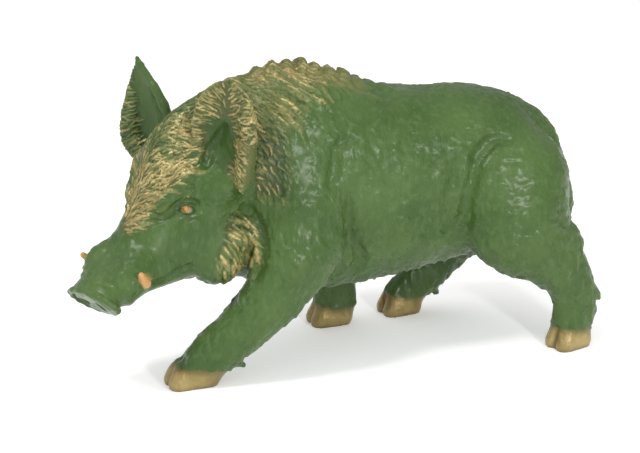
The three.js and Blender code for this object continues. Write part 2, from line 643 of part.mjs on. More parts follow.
// Quadric edge collapse down to a number of triangles. It keeps the surface closed.
function simplify({ positions, faces }, target) {
  const count = positions.length / 3;
  const P = Float64Array.from(positions);
  const Q = new Float64Array(count * 10);
  const around = Array.from({ length: count }, () => new Set());
  const alive = new Uint8Array(faces.length).fill(1);
  const planeOf = (f) => {
    const [a, b, c] = faces[f].map((v) => v * 3);
    const [ux, uy, uz] = [P[b] - P[a], P[b + 1] - P[a + 1], P[b + 2] - P[a + 2]];
    const [vx, vy, vz] = [P[c] - P[a], P[c + 1] - P[a + 1], P[c + 2] - P[a + 2]];
    const n = [uy * vz - uz * vy, uz * vx - ux * vz, ux * vy - uy * vx];
    const area = Math.hypot(...n) || 1e-12;
    return [n[0] / area, n[1] / area, n[2] / area, area / 2];
  };
  faces.forEach((face, f) => {
    const [a, b, c, area] = planeOf(f);
    const o = face[0] * 3;
    const d = -(a * P[o] + b * P[o + 1] + c * P[o + 2]);
    const q = [a * a, a * b, a * c, a * d, b * b, b * c, b * d, c * c, c * d, d * d];
    for (const v of face) {
      around[v].add(f);
      for (let i = 0; i < 10; i++) Q[v * 10 + i] += q[i] * area;
    }
  });
  const spotOf = (v) => [P[v * 3], P[v * 3 + 1], P[v * 3 + 2]];
  const apart = (a, b) => {
    const [p, q] = [spotOf(a), spotOf(b)];
    return Math.hypot(p[0] - q[0], p[1] - q[1], p[2] - q[2]);
  };
  const det3 = (a, b, c) =>
    a[0] * (b[1] * c[2] - b[2] * c[1]) +
    a[1] * (b[2] * c[0] - b[0] * c[2]) +
    a[2] * (b[0] * c[1] - b[1] * c[0]);
  // The best single point for two vertices, and how far it lies off their planes.
  const cost = (u, v) => {
    const q = new Float64Array(10);
    for (let i = 0; i < 10; i++) q[i] = Q[u * 10 + i] + Q[v * 10 + i];
    const mid = [0, 1, 2].map((i) => (P[u * 3 + i] + P[v * 3 + i]) / 2);
    const [cx, cy, cz] = [[q[0], q[1], q[2]], [q[1], q[4], q[5]], [q[2], q[5], q[7]]];
    const right = [-q[3], -q[6], -q[8]];
    const det = det3(cx, cy, cz);
    const length = apart(u, v);
    let best = mid;
    if (Math.abs(det) > 1e-9 * (q[0] + q[4] + q[7]) ** 3 + 1e-12) {
      const spot = [det3(right, cy, cz) / det, det3(cx, right, cz) / det, det3(cx, cy, right) / det];
      if (Math.hypot(spot[0] - mid[0], spot[1] - mid[1], spot[2] - mid[2]) < length) best = spot;
    }
    const [x, y, z] = best;
    const squares = q[0] * x * x + q[4] * y * y + q[7] * z * z + q[9];
    const mixed = q[1] * x * y + q[2] * x * z + q[5] * y * z;
    const linear = q[3] * x + q[6] * y + q[8] * z;
    const error = Math.max(squares + 2 * mixed + 2 * linear, 0);
    return { error: error + length ** 3 * 2e-4, best };
  };
  const stamp = new Int32Array(count);
  const heap = [];
  const push = (item) => {
    let i = heap.push(item) - 1;
    while (i > 0) {
      const up = (i - 1) >> 1;
      if (heap[up].error <= heap[i].error) break;
      [heap[up], heap[i]] = [heap[i], heap[up]];
      i = up;
    }
  };
  const pop = () => {
    const top = heap[0];
    const last = heap.pop();
    if (heap.length) {
      heap[0] = last;
      let i = 0;
      for (;;) {
        const l = 2 * i + 1;
        if (l >= heap.length) break;
        const s = l + 1 < heap.length && heap[l + 1].error < heap[l].error ? l + 1 : l;
        if (heap[s].error >= heap[i].error) break;
        [heap[s], heap[i]] = [heap[i], heap[s]];
        i = s;
      }
    }
    return top;
  };
  const neighbours = (v) => {
    const s = new Set();
    for (const f of around[v]) faces[f].forEach((w) => w !== v && s.add(w));
    return s;
  };
  const queue = (u, v) => {
    const { error, best } = cost(u, v);
    push({ error, best, u, v, su: stamp[u], sv: stamp[v] });
  };
  for (let u = 0; u < count; u++) {
    for (const v of neighbours(u)) if (u < v) queue(u, v);
  }
  let left = faces.length;
  while (left > target && heap.length) {
    const { u, v, su, sv, best } = pop();
    if (stamp[u] !== su || stamp[v] !== sv) continue;
    const [nu, nv] = [neighbours(u), neighbours(v)];
    if (!nu.has(v)) continue;
    let shared = 0;
    for (const w of nu) if (nv.has(w)) shared++;
    if (shared !== 2) continue;
    const flips = (v1, other) => {
      for (const f of around[v1]) {
        if (faces[f].includes(other)) continue;
        const before = planeOf(f);
        const keep = [P[v1 * 3], P[v1 * 3 + 1], P[v1 * 3 + 2]];
        [P[v1 * 3], P[v1 * 3 + 1], P[v1 * 3 + 2]] = best;
        const after = planeOf(f);
        const [a, b, c] = faces[f];
        const longest = Math.max(apart(a, b), apart(b, c), apart(c, a));
        [P[v1 * 3], P[v1 * 3 + 1], P[v1 * 3 + 2]] = keep;
        if (before[0] * after[0] + before[1] * after[1] + before[2] * after[2] < 0.35) return true;
        if (after[3] < 0.03 * longest * longest) return true;
      }
      return false;
    };
    if (flips(u, v) || flips(v, u)) continue;
    for (let i = 0; i < 10; i++) Q[u * 10 + i] += Q[v * 10 + i];
    [P[u * 3], P[u * 3 + 1], P[u * 3 + 2]] = best;
    for (const f of [...around[v]]) {
      if (faces[f].includes(u)) {
        alive[f] = 0;
        left--;
        for (const w of faces[f]) around[w].delete(f);
      } else {
        faces[f] = faces[f].map((w) => (w === v ? u : w));
        around[u].add(f);
      }
    }
    around[v].clear();
    stamp[v] = -1;
    stamp[u]++;
    for (const w of neighbours(u)) queue(u, w);
  }
  const renumber = new Map();
  const out = [];
  const index = [];
  faces.forEach((face, f) => {
    if (!alive[f]) return;
    for (const v of face) {
      if (!renumber.has(v)) {
        renumber.set(v, renumber.size);
        out.push(P[v * 3], P[v * 3 + 1], P[v * 3 + 2]);
      }
      index.push(renumber.get(v));
    }
  });
  return { positions: Float32Array.from(out), index: Uint32Array.from(index) };
}

// Solid.
const SURFACE_STEP = 2.4 * mm;
const TRIANGLES = 9600;

const wasm = await Module();
wasm.setup();

function toManifold(positions, index) {
  return new wasm.Manifold(new wasm.Mesh({ numProp: 3, vertProperties: positions, triVerts: index }));
}

// The block below the ground, as a closed mesh whose sides share their corners.
function groundBlock() {
  const box = new THREE.BoxGeometry(LENGTH * 2, LENGTH * 2, SOLE_DEPTH * 8);
  box.translate(0, 0, -SOLE_DEPTH * 4);
  box.deleteAttribute("normal");
  box.deleteAttribute("uv");
  const merged = mergeVertices(box);
  return toManifold(merged.attributes.position.array, new Uint32Array(merged.index.array));
}

function fromManifold(solid) {
  const mesh = solid.getMesh();
  const geometry = new THREE.BufferGeometry();
  geometry.setAttribute("position", new THREE.BufferAttribute(Float32Array.from(mesh.vertProperties), 3));
  geometry.setIndex(new THREE.BufferAttribute(Uint32Array.from(mesh.triVerts), 1));
  geometry.computeVertexNormals();
  return geometry;
}

function boarGeometry() {
  const low = at(-186, -66, 0).setZ(-SOLE_DEPTH - SURFACE_STEP * 4);
  const high = at(182, 66, 208);
  const skin = simplify(polygonise(low, high, SURFACE_STEP), TRIANGLES);
  const solid = toManifold(skin.positions, skin.index).subtract(groundBlock());
  return fromManifold(solid).translate(CENTRING.x, CENTRING.y, 0);
}

const paint = new THREE.MeshStandardMaterial({ color: 0x5a7d48, roughness: 0.5, metalness: 0 });
const boar = new THREE.Mesh(boarGeometry(), paint);
boar.name = "boar_figure";

const figure = new THREE.Group();
figure.add(boar);
export default figure;
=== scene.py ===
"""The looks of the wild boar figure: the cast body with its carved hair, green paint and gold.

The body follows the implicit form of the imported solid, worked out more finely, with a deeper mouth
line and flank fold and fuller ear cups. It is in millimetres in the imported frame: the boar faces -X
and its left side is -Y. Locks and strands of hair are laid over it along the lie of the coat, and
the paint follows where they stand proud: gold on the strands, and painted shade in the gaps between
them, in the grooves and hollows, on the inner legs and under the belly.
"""

import math
import bpy
import numpy as np
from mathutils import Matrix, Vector, kdtree


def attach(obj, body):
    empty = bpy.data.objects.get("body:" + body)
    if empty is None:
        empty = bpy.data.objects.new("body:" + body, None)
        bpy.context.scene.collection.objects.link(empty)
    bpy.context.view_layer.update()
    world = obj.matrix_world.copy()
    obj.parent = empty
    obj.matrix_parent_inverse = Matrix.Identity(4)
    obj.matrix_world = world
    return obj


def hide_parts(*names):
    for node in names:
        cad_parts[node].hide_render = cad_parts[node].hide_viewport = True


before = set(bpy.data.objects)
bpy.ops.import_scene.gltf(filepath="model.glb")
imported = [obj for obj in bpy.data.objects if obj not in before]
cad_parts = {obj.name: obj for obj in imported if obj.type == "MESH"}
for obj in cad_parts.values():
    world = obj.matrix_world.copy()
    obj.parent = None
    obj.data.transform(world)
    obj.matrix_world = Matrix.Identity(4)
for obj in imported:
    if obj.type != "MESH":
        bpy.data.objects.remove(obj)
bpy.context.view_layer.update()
rng = np.random.default_rng(7)

# Sizes of the casting, in millimetres.
LENGTH = 336.0
EAR_LENGTH = 62.0
EAR_HALF_WIDTH = 19.5
EAR_INNER = 0.74
EAR_WALL = 5.0
EAR_CUP = 12.0
EAR_SPREAD = 0.6
TUSK_LENGTH = 13.5
TUSK_RADIUS = 3.3
EYE_RADIUS = 3.6
DISC_HALF_WIDTH = 19.5
DISC_HALF_HEIGHT = 10.5
HOOF_TOE_RADIUS = 7.4
TAIL_RADIUS = 4.6
CREST_HEIGHT = 5.5
# Straight pieces in the rim of the snout's disc, and lumps along the crest.
DISC_SIDES = 14
CREST_LUMPS = 13
# Spacing of the grid that the surface is read from, and the most triangles that are kept.
CELL = 1.05
TRIANGLES = 196000

# Proportions below are written in millimetres of a figure 336 mm long.
mm = LENGTH / 336
# Steps to the corners of a cell, and to a cell and the cells around it.
CORNERS = [(i, j, k) for i in (0, 1) for j in (0, 1) for k in (0, 1)]
NEIGHBOURS = [(i, j, k) for i in (-1, 0, 1) for j in (-1, 0, 1) for k in (-1, 0, 1)]


def V3(*v):
    return np.array(v, dtype=float)


def at(x, y, z):
    return V3(x, y, z) * mm


def unit(v):
    return v / (np.linalg.norm(v) + 1e-12)


# The head's own axes: along the snout, to the boar's left, and towards the brow.
HEAD_TURN = math.radians(25)
HEAD_DROP = math.radians(48)
CROWN = at(-92, -8, 151)
snoutwards = V3(
    -math.cos(HEAD_TURN) * math.cos(HEAD_DROP),
    -math.sin(HEAD_TURN) * math.cos(HEAD_DROP),
    -math.sin(HEAD_DROP),
)
leftwards = V3(math.sin(HEAD_TURN), -math.cos(HEAD_TURN), 0)
browwards = -np.cross(leftwards, snoutwards)
HEAD_AXES = np.stack([snoutwards, leftwards, browwards])
CENTRING = at(1.5, 0.75, 0)


def on_head(a, b, c):
    return CROWN + snoutwards * a * mm + leftwards * b * mm + browwards * c * mm


def head_coords(P):
    """Along the snout, to the boar's left and towards the brow, from the crown."""
    return (P - CROWN) @ HEAD_AXES.T / mm


def smooth(low, high, x):
    t = np.clip((x - low) / (high - low), 0, 1)
    return t * t * (3 - 2 * t)


# The implicit masses.
class Mass:
    def __init__(self, value, middle, reach, blend, cut=False):
        self.value, self.middle, self.reach = value, middle, reach
        self.blend, self.cut, self.groove = blend * mm, cut, False


def rod(a, b, ra, rb, blend=3, squash=1.0, cut=False):
    ab = b - a
    length2 = max(ab @ ab, 1e-9)
    stretch = 1 / squash - 1

    def value(P):
        q = P - a
        t = np.clip(q @ ab / length2, 0, 1)
        q = q - t[:, None] * ab
        q[:, 1] *= 1 + stretch
        return np.sqrt((q * q).sum(1)) - (ra + (rb - ra) * t)

    return Mass(value, (a + b) / 2, math.sqrt(length2) / 2 + max(ra, rb), blend, cut)


def curve_point(points, t):
    """A point on the centripetal Catmull-Rom curve through the points."""
    n = len(points)
    p = (n - 1) * t
    i = min(int(math.floor(p + 1e-9)), n - 2)
    w = p - i
    p1, p2 = points[i], points[i + 1]
    p0 = points[i - 1] if i > 0 else 2 * points[0] - points[1]
    p3 = points[i + 2] if i + 2 < n else 2 * points[-1] - points[-2]
    d0, d1, d2 = (((q - r) @ (q - r)) ** 0.25 for q, r in ((p0, p1), (p1, p2), (p2, p3)))
    t1 = ((p1 - p0) / d0 - (p2 - p0) / (d0 + d1) + (p2 - p1) / d1) * d1
    t2 = ((p2 - p1) / d1 - (p3 - p1) / (d1 + d2) + (p3 - p2) / d2) * d1
    return p1 + t1 * w + (-3 * p1 + 3 * p2 - 2 * t1 - t2) * w**2 + (2 * p1 - 2 * p2 + t1 + t2) * w**3


def limb(points, radii, steps=3, **how):
    spans = (len(points) - 1) * steps
    made = []
    for i in range(spans):
        r = [np.interp(k * (len(points) - 1) / spans, range(len(radii)), radii) for k in (i, i + 1)]
        ends = [curve_point(points, k / spans) for k in (i, i + 1)]
        made.append(rod(*ends, *r, **how))
    return made


def egg(centre, halves, axes=None, blend=6, cut=False):
    A = np.eye(3) if axes is None else axes
    H = np.array(halves, float)

    def value(P):
        q = (P - centre) @ A.T / H
        k0 = np.sqrt((q * q).sum(1))
        k1 = np.sqrt(((q / H) ** 2).sum(1))
        return np.where(k1 < 1e-9, -H.min(), k0 * (k0 - 1) / np.maximum(k1, 1e-9))

    return Mass(value, centre, H.max(), blend, cut)


def station(rows, c, x):
    x = np.clip(x, rows[0, 0], rows[-1, 0])
    i = np.clip(np.searchsorted(rows[:, 0], x, side="left") - 1, 0, len(rows) - 2)
    before_i, after_i = np.maximum(i - 1, 0), np.minimum(i + 2, len(rows) - 1)
    span = rows[i + 1, 0] - rows[i, 0]
    t = (x - rows[i, 0]) / span
    slope_p = (rows[i + 1, c] - rows[before_i, c]) / (rows[i + 1, 0] - rows[before_i, 0]) * span
    slope_q = (rows[after_i, c] - rows[i, c]) / (rows[after_i, 0] - rows[i, 0]) * span
    return (
        (2 * t**3 - 3 * t**2 + 1) * rows[i, c]
        + (t**3 - 2 * t**2 + t) * slope_p
        + (3 * t**2 - 2 * t**3) * rows[i + 1, c]
        + (t**3 - t**2) * slope_q
    )


def loft(rows, to_local, middle, reach, nose, tail, power=2.2, blend=8):
    start, stop = rows[0, 0], rows[-1, 0]

    def value(P):
        along, side, up = to_local(P)
        inside = np.clip(along, start, stop)
        beyond = np.abs(along - inside)
        cap = np.ones(len(P))
        for past in ((start + nose - inside) / nose, (inside - stop + tail) / tail):
            cap = np.where(past > 0, np.sqrt(np.maximum(1 - past**2, 0.0004)), cap)
        widest = station(rows, 2, inside)
        above, below = station(rows, 1, inside) - widest, widest - station(rows, 3, inside)
        half = np.where(up > widest, above, below) * cap
        width = station(rows, 4, inside) * cap
        rho = (np.abs(side / width) ** power + np.abs((up - widest) / half) ** power) ** (1 / power)
        d = (rho - 1) * np.minimum(half, width)
        return np.where(beyond > 0, np.hypot(np.maximum(d, 0), beyond), d)

    return Mass(value, middle, reach, blend)


TRUNK = mm * np.array([
    [-78, 158, 126, 92, 27],
    [-52, 182, 122, 62, 38],
    [-28, 188.5, 116, 50, 43],
    [0, 181, 110, 46, 43],
    [30, 171, 106, 49, 42.5],
    [60, 168, 106, 53, 41],
    [88, 167, 108, 60, 41],
    [114, 160, 108, 70, 41],
    [135, 147.5, 106, 78, 38],
    [153, 132, 104, 83, 34],
], float)
HEAD = mm * np.array([
    [-14, 12, -24, -60, 22],
    [8, 13, -26, -77, 29.5],
    [28, 12.5, -28, -82, 29],
    [44, 9.5, -28, -79, 26.5],
    [60, 5.5, -22, -63, 23],
    [78, 3.5, -16, -42, 21],
    [94, 3.5, -8, -26, 20],
    [108, 4.5, -7, -20, 18.5],
], float)


def trunk():
    local = lambda P: (P[:, 0], P[:, 1], P[:, 2])
    return [
        loft(TRUNK, local, at(41, 0, 110), 150 * mm, 34 * mm, 44 * mm, blend=10),
        rod(at(-52, -2, 141), CROWN + at(4, 0, -17), 38 * mm, 31 * mm, 14, 0.86),
        rod(at(-40, -1, 90), at(-72, -5, 95), 40 * mm, 27 * mm, 12, 0.84),
        rod(at(-92, -8, 161), at(-62, -4, 174), 11 * mm, 12 * mm, 9),
    ]


EYES, TUSKS, EARS = [], [], []


def snout_disc():
    """The flat front of the snout, with a raised rim."""
    disc = on_head(112, -2, -4.5)
    facing = unit(snoutwards + 0.1 * leftwards + 0.1 * browwards)
    made = [egg(disc + facing * 61.5 * mm, V3(60, 60, 60) * mm, None, 1.2, True)]
    for i in range(DISC_SIDES):
        ends = [2 * math.pi * k / DISC_SIDES for k in (i, i + 1)]
        ends = [(DISC_HALF_WIDTH * math.cos(t), DISC_HALF_HEIGHT * math.sin(t)) for t in ends]
        ends = [disc + (leftwards * b + browwards * c - snoutwards * 0.1 * (b + c)) * mm for b, c in ends]
        made.append(rod(*ends, 1.7 * mm, 1.7 * mm, 1.2))
    return made


def head():
    local = lambda P: tuple(((P - CROWN) @ HEAD_AXES.T).T)
    A = HEAD_AXES
    made = [
        loft(HEAD, local, on_head(48, 0, -26), 84 * mm, 18 * mm, 6 * mm, 2.1, 10),
        egg(on_head(101, -2, -5), V3(15, 17.5, 11) * mm, A, 5),
        egg(on_head(110, -2, -4.5), V3(5, 19, 10.5) * mm, A, 6),
        egg(on_head(89, -15, -4), V3(9, 7, 8.5) * mm, A, 4),
    ]
    made += snout_disc()
    for side in (-1, 1):
        # Cheek, jowl, lip over the tusk, and brow.
        made.append(egg(on_head(36, 20 * side, -34), V3(28, 12, 22) * mm, A, 8))
        made.append(egg(on_head(44, 23 * side, -48), V3(22, 15, 16) * mm, A, 8))
        made.append(egg(on_head(88, 13 * side, -6), V3(13, 9, 9) * mm, A, 8))
        made.append(rod(on_head(22, 20 * side, 4), on_head(44, 16 * side, 2), 5 * mm, 3.5 * mm, 6))
        # The eye in its socket, and the fold under it.
        made.append(egg(on_head(39, 26.5 * side, -8), V3(6, 4, 4.5) * mm, A, 3, True))
        made.append(egg(on_head(39, 23.4 * side, -8), V3(1.2, 1, 1) * EYE_RADIUS, A, 1))
        EYES.append(on_head(39, 23.4 * side, -8))
        made.append(rod(on_head(53, 21 * side, -13), on_head(42, 26.5 * side, -15), 3.4 * mm, 3 * mm, 4))
        root = on_head(88 if side > 0 else 91, 21 * side, -12)
        rise = unit(browwards + leftwards * 0.55 * side - snoutwards * 0.08)
        made.append(rod(root, root + rise * TUSK_LENGTH, TUSK_RADIUS, TUSK_RADIUS * 0.55, 0.8))
        TUSKS.append((root, root + rise * TUSK_LENGTH))
        nostril = [on_head(119, 8.5 * side - 2, -5.5), on_head(108, 7.5 * side - 2, -4.5)]
        made.append(rod(*nostril, 4.6 * mm, 3.4 * mm, 1.5, cut=True))
    return made


class Leaf:
    """An ear: a cup that grows from base along up and opens towards opening. Its tip is blunt or pointed."""

    def __init__(self, base, up, opening, lateral, blunt):
        self.base, self.t, self.blunt = base, unit(up), blunt
        self.n = unit(opening - self.t * (opening @ self.t))
        self.w = np.cross(self.n, self.t) * lateral

    def half(self, s, outer):
        if self.blunt:
            return EAR_HALF_WIDTH * np.where(outer, 1.0, 0.9) * (0.92 + 0.3 * s) * (1 - s**4) ** 0.6
        return EAR_HALF_WIDTH * np.where(outer, 1.0, EAR_INNER) * (0.76 + 2.4 * s) * (1 - s) ** 1.15

    def bowl(self, s, u):
        """How far the middle sheet stands forward at u half widths from the middle, and its slope there."""
        square, lean, back = (0.95, 0.35, 0.8) if self.blunt else (1.0, 0.55, 0.9)
        depth = EAR_CUP * (1 - s * 0.6)
        forward = depth * (square * u * u + lean * u - back)
        return forward, depth * (2 * square * u + lean) / EAR_HALF_WIDTH

    def coords(self, P):
        """How far up (0 to 1), across (-1 to 1, 1 the outer margin) and in front of the middle sheet."""
        q = P - self.base
        s = np.clip(q @ self.t / EAR_LENGTH, 0, 1)
        across, out = q @ self.w, q @ self.n
        half = np.maximum(self.half(s, across > 0), 0.5)
        u = np.clip(across, -half, half) / EAR_HALF_WIDTH
        return s, across / half, out - self.bowl(s, u)[0]

    def value(self, P):
        q = P - self.base
        along = q @ self.t / EAR_LENGTH
        across, out = q @ self.w, q @ self.n
        s = np.clip(along, 0, 1)
        half = self.half(s, across > 0)
        u = np.clip(across, -half, half) / EAR_HALF_WIDTH
        bowl, slope = self.bowl(s, u)
        thick = (EAR_WALL / 2) * (1 - 0.2 * s) * (1 + 0.5 * np.maximum(u, 0))
        shell = np.abs(out - bowl) / np.sqrt(1 + slope * slope)
        rim = np.maximum(np.abs(across) - half + thick * 0.6, 0)
        end = np.abs(along - s) * EAR_LENGTH
        return np.sqrt(shell**2 + rim**2 + end**2) - thick

    def point(self, s, u):
        across = float(self.half(s, u > 0)) * u
        bowl = self.bowl(s, across / EAR_HALF_WIDTH)[0]
        return self.base + self.t * s * EAR_LENGTH + self.w * across + self.n * bowl

    def mass(self):
        return Mass(self.value, self.base + self.t * EAR_LENGTH / 2, EAR_LENGTH / 2 + EAR_HALF_WIDTH, 5)


def ears():
    made = []
    level = unit(snoutwards * V3(1, 1, 0))
    for side in (-1, 1):
        base = on_head(14, 31, -10) if side > 0 else on_head(15, -29, -12)
        up = on_head(-28, 43 if side > 0 else -48, 32) - base
        opening = level + leftwards * side * (EAR_SPREAD if side > 0 else EAR_SPREAD * 0.2)
        ear = Leaf(base, up, opening, -side, side > 0)
        EARS.append(ear)
        made.append(ear.mass())
        outer = [ear.point(s, 0.86) for s in (-0.02, 0.14, 0.32, 0.5, 0.7, 0.88)]
        made += limb(outer, [r * mm for r in (3, 4.6, 4.8, 4.4, 3.2, 2)], steps=1, blend=3)
        inner = [ear.point(s, -0.9) for s in (0.1, 0.3, 0.5, 0.7)]
        made += limb(inner, [r * mm for r in (3.6, 3.2, 2.4, 1.7)], steps=1, blend=3)
        made.append(egg(on_head(14, 27 * side, -16), V3(12, 12, 13) * mm, None, 9))
        # The lobe inside the cup.
        lobe = [ear.point(s, u) + ear.n * 1.5 * mm for s, u in ((0.02, -0.55), (0.2, -0.5), (0.4, -0.35))]
        made += limb(lobe, [4.6 * mm, 4 * mm, 1.5 * mm], steps=1, blend=2.5)
    return made


HOOVES = []


def hoof(x, y, heading, length=30):
    h = math.radians(heading)
    ahead, left = V3(-math.cos(h), -math.sin(h), 0), V3(math.sin(h), -math.cos(h), 0)
    centre = at(x, y, 0)
    HOOVES.append((centre, ahead, left))
    spot = lambda a, l, up: centre + ahead * a * mm + left * l * mm + V3(0, 0, up * mm)
    toe = HOOF_TOE_RADIUS
    run = length / 2 - toe / mm
    made = []
    for side in (-1, 1):
        made.append(rod(spot(-run, 4.4 * side, 4), spot(run, 4 * side, 3), toe, toe * 0.9, 2.5))
        upper = [spot(-run + 1.5, 4 * side, 9.5), spot(run - 3, 3.6 * side, 8.5)]
        made.append(rod(*upper, toe * 0.96, toe * 0.86, 4))
    cleft = [spot(length / 2 + 1, 0, -8), spot(length / 2 - 4, 0, 14)]
    made.append(rod(*cleft, 1.8 * mm, 1.4 * mm, 2.2, cut=True))
    return made


def leg(points, radii, squash):
    return limb([at(*p) for p in points], [r * mm for r in radii], blend=9, squash=squash)


def spur(a, b, ra, rb, blend):
    """A tuft or a dewclaw that stands out of a leg."""
    return rod(at(*a), at(*b), ra * mm, rb * mm, blend)


def legs():
    made = leg(
        [(-28, -25, 108), (-32, -35, 82), (-48.5, -38, 55), (-69.5, -36, 33.5), (-87, -32, 17.5),
         (-95, -29, 5)],
        [30, 21.5, 14.8, 11.8, 10.2, 9], 0.8)
    made += hoof(-98, -28, 6, 33)
    made.append(spur((-79, -33, 24), (-66, -33, 10.5), 7, 1.3, 4))
    made += leg(
        [(-28, 25, 108), (-18, 35, 78), (5, 39, 52), (15, 41, 32), (16.5, 42, 14), (14.5, 42, 4)],
        [30, 20, 13, 10, 9.4, 9], 0.8)
    made += hoof(12, 42, 5, 29)
    made += leg(
        [(110, -24, 107), (114, -34, 83), (133, -40, 63), (148.5, -41, 42), (150, -41, 22), (148, -40, 6)],
        [38, 28, 16, 10.5, 9.2, 9], 0.72)
    made.append(spur((138, -40, 68), (146, -41, 71), 8, 4, 5))
    made.append(spur((154, -41, 42), (165, -42, 33), 6.5, 2.5, 4))
    made.append(spur((145, -42, 78), (150.5, -42, 70), 4.5, 3.6, 4))
    made.append(spur((156, -41, 26), (162, -41, 23), 4.5, 3, 3))
    made += hoof(147, -40, 22, 28)
    made += leg(
        [(110, 24, 106), (96, 34, 76), (98, 40, 54), (85.5, 43, 33), (68, 45, 16), (63, 46, 5)],
        [38, 24, 13.5, 10.5, 9.4, 9], 0.72)
    made.append(spur((78, 44, 20), (88, 44, 11), 5, 1.5, 3))
    made.append(spur((99, 41, 48), (112.5, 41, 37.5), 8, 1.3, 4))
    made += hoof(62, 46, 10, 28)
    return made


def tail():
    path = [(116, 0, 148), (134, 0, 139), (147, 0, 122), (154, 0, 100), (156, 0, 78), (152, 0, 62)]
    return limb([at(*p) for p in path], [TAIL_RADIUS * k for k in (1.6, 1.2, 1, 0.9, 0.9, 0.6)], blend=8)


def crest():
    made = []
    for i in range(CREST_LUMPS):
        x = (-72 + 106 * i / (CREST_LUMPS - 1)) * mm
        swell = math.sin(math.pi * (i + 0.6) / (CREST_LUMPS + 0.2))
        height = CREST_HEIGHT * (0.95 + 0.25 * math.sin(i * 2.3)) * swell
        z = float(station(TRUNK, 1, np.array([x]))[0]) - 3 * mm
        made.append(egg(V3(x, 0, z), V3(5.0 * mm, 9.5 * mm, height + 3.4 * mm), None, 2))
    return made


class Form:
    """Masses run together. values() evaluates the field at many points, cell by cell."""

    def __init__(self, masses):
        self.masses = [m for m in masses if not m.cut] + [m for m in masses if m.cut]
        self.middle = np.array([m.middle for m in self.masses])
        self.reach = np.array([m.reach for m in self.masses])
        self.blend = np.array([m.blend for m in self.masses])
        self.cut = np.array([m.cut for m in self.masses])

    def blended(self, P, which):
        d = np.full(len(P), 1e3)
        for i in which:
            m = self.masses[i]
            v = m.value(P)
            a = -d if m.cut else d
            h = np.maximum(m.blend - np.abs(a - v), 0) / m.blend
            a = np.minimum(a, v) - h * h * m.blend * 0.25
            d = -a if m.cut else a
        return d

    def values(self, P, cell=13.0):
        P = np.asarray(P, float)
        key = np.floor(P / cell).astype(np.int64)
        flat = (key[:, 0] + 500) * 1000000 + (key[:, 1] + 500) * 1000 + key[:, 2] + 500
        order = np.argsort(flat, kind="stable")
        starts = np.r_[0, np.nonzero(np.diff(flat[order]))[0] + 1, len(P)]
        centres = (key[order[starts[:-1]]] + 0.5) * cell
        middle_values = self.blended(centres, range(len(self.masses)))
        out = np.empty(len(P))
        r = cell * 0.87
        for n in range(len(centres)):
            d = middle_values[n]
            near = np.linalg.norm(self.middle - centres[n], axis=1) - self.reach - r
            limit = np.where(self.cut, self.blend - d + 1.4 * r, self.blend + d + 1.4 * r)
            idx = order[starts[n]:starts[n + 1]]
            out[idx] = self.blended(P[idx], np.nonzero(near < limit)[0])
        return out


def on_skin(form, P, passes=3):
    """The points moved to the surface, and the outward normals there."""
    P = np.array(P, float)
    e = 0.1
    for _ in range(passes):
        n = len(P)
        probe = np.concatenate([P, P + [e, 0, 0], P + [0, e, 0], P + [0, 0, e]])
        f = form.values(probe)
        g = np.stack([(f[n * k:n * (k + 1)] - f[:n]) / e for k in (1, 2, 3)], 1)
        P = P - g * (f[:n] / np.maximum((g * g).sum(1), 0.2))[:, None]
    return P, g / (np.linalg.norm(g, axis=1)[:, None] + 1e-9)


# How far above the skin a groove's middle runs, in its own radii: on the head, on the body, and on
# the flank, where only a soft fold is pressed in.
ON_HEAD, ON_BODY, SOFT = 0.15, 0.45, 1.6
GROOVES = [
    # Points on the left side, radii, blend and lift. Those on the head are in the head's own axes.
    # Haunch, flank, bottom of the ear's cup.
    ([(102, -37, 142), (93, -37, 141), (87, -38, 137), (82, -39, 130), (79, -41, 119), (75, -41, 104),
      (74, -38, 88)], [1.4, 1.8, 2, 2.2, 2.4, 2.8, 3.4], 5, ON_BODY),
    ([(70, -39, 129), (66, -41, 114), (64, -41, 99), (68, -38, 85)], [2, 2.4, 2.6, 2.6], 7, SOFT),
    ([(-12, 35, 10), (-4, 28, 4.5), (5, 26, 2), (11, 26, 0)], [1.6, 2.6, 2.8, 1.8], 3, ON_HEAD),
    # Behind the shoulder, and over it.
    ([(0, -41, 116), (-1.5, -43, 100), (0.5, -43, 90), (5, -41, 81), (8.5, -40, 74), (7, -37, 66)],
     [1.2, 1.8, 2, 2, 2, 1.6], 5, ON_BODY),
    ([(0, -36, 151), (-9, -38, 146)], [1, 1.2], 4, ON_BODY),
    ([(-9, -39, 143), (-10, -41, 135), (-14, -42, 126)], [1.1, 1.5, 1.2], 5, ON_BODY),
    # Behind the jowl, beside the tail.
    ([(-64, -39, 111), (-59, -41, 101), (-55.5, -42, 91), (-55, -42, 83), (-58.5, -41, 73)],
     [1.6, 2.4, 2.8, 3, 3], 5, ON_BODY),
    ([(128, -8, 143), (140, -9, 137), (146, -10, 126), (147, -10, 112), (146, -10, 96), (144, -10, 80)],
     [1, 1.4, 1.8, 2, 2.2, 2], 5, ON_BODY),
    # Over the eye, and the mouth.
    ([(56, 13, 1), (49, 17, -1), (42, 19, -2), (37, 20.5, -3.4), (32, 25, -10)],
     [1.2, 1.8, 2, 2, 1.6], 2.5, ON_HEAD),
    ([(86, 23, -16), (83, 20, -22), (79, 19, -26), (73, 20, -29), (64, 24, -33)],
     [1.6, 2.2, 2.4, 2.2, 1.4], 1.5, ON_HEAD),
]
# Grooves with a wider blend than this get no painted shade.
PAINTED_BLEND = 6


def grooves(form):
    """Folds of skin, the crease over the eye and the mouth line, pressed into the form."""
    made = []
    for points, radii, blend, lift in GROOVES:
        place = on_head if lift == ON_HEAD else at
        for side in (-1, 1):
            skin, out = on_skin(form, [place(a, b * side, c) for a, b, c in points])
            sunk = skin + out * (lift * mm * np.array(radii))[:, None]
            made += limb(list(sunk), [r * mm for r in radii], blend=blend, cut=True)
    for m in made:
        m.groove = True
    return made


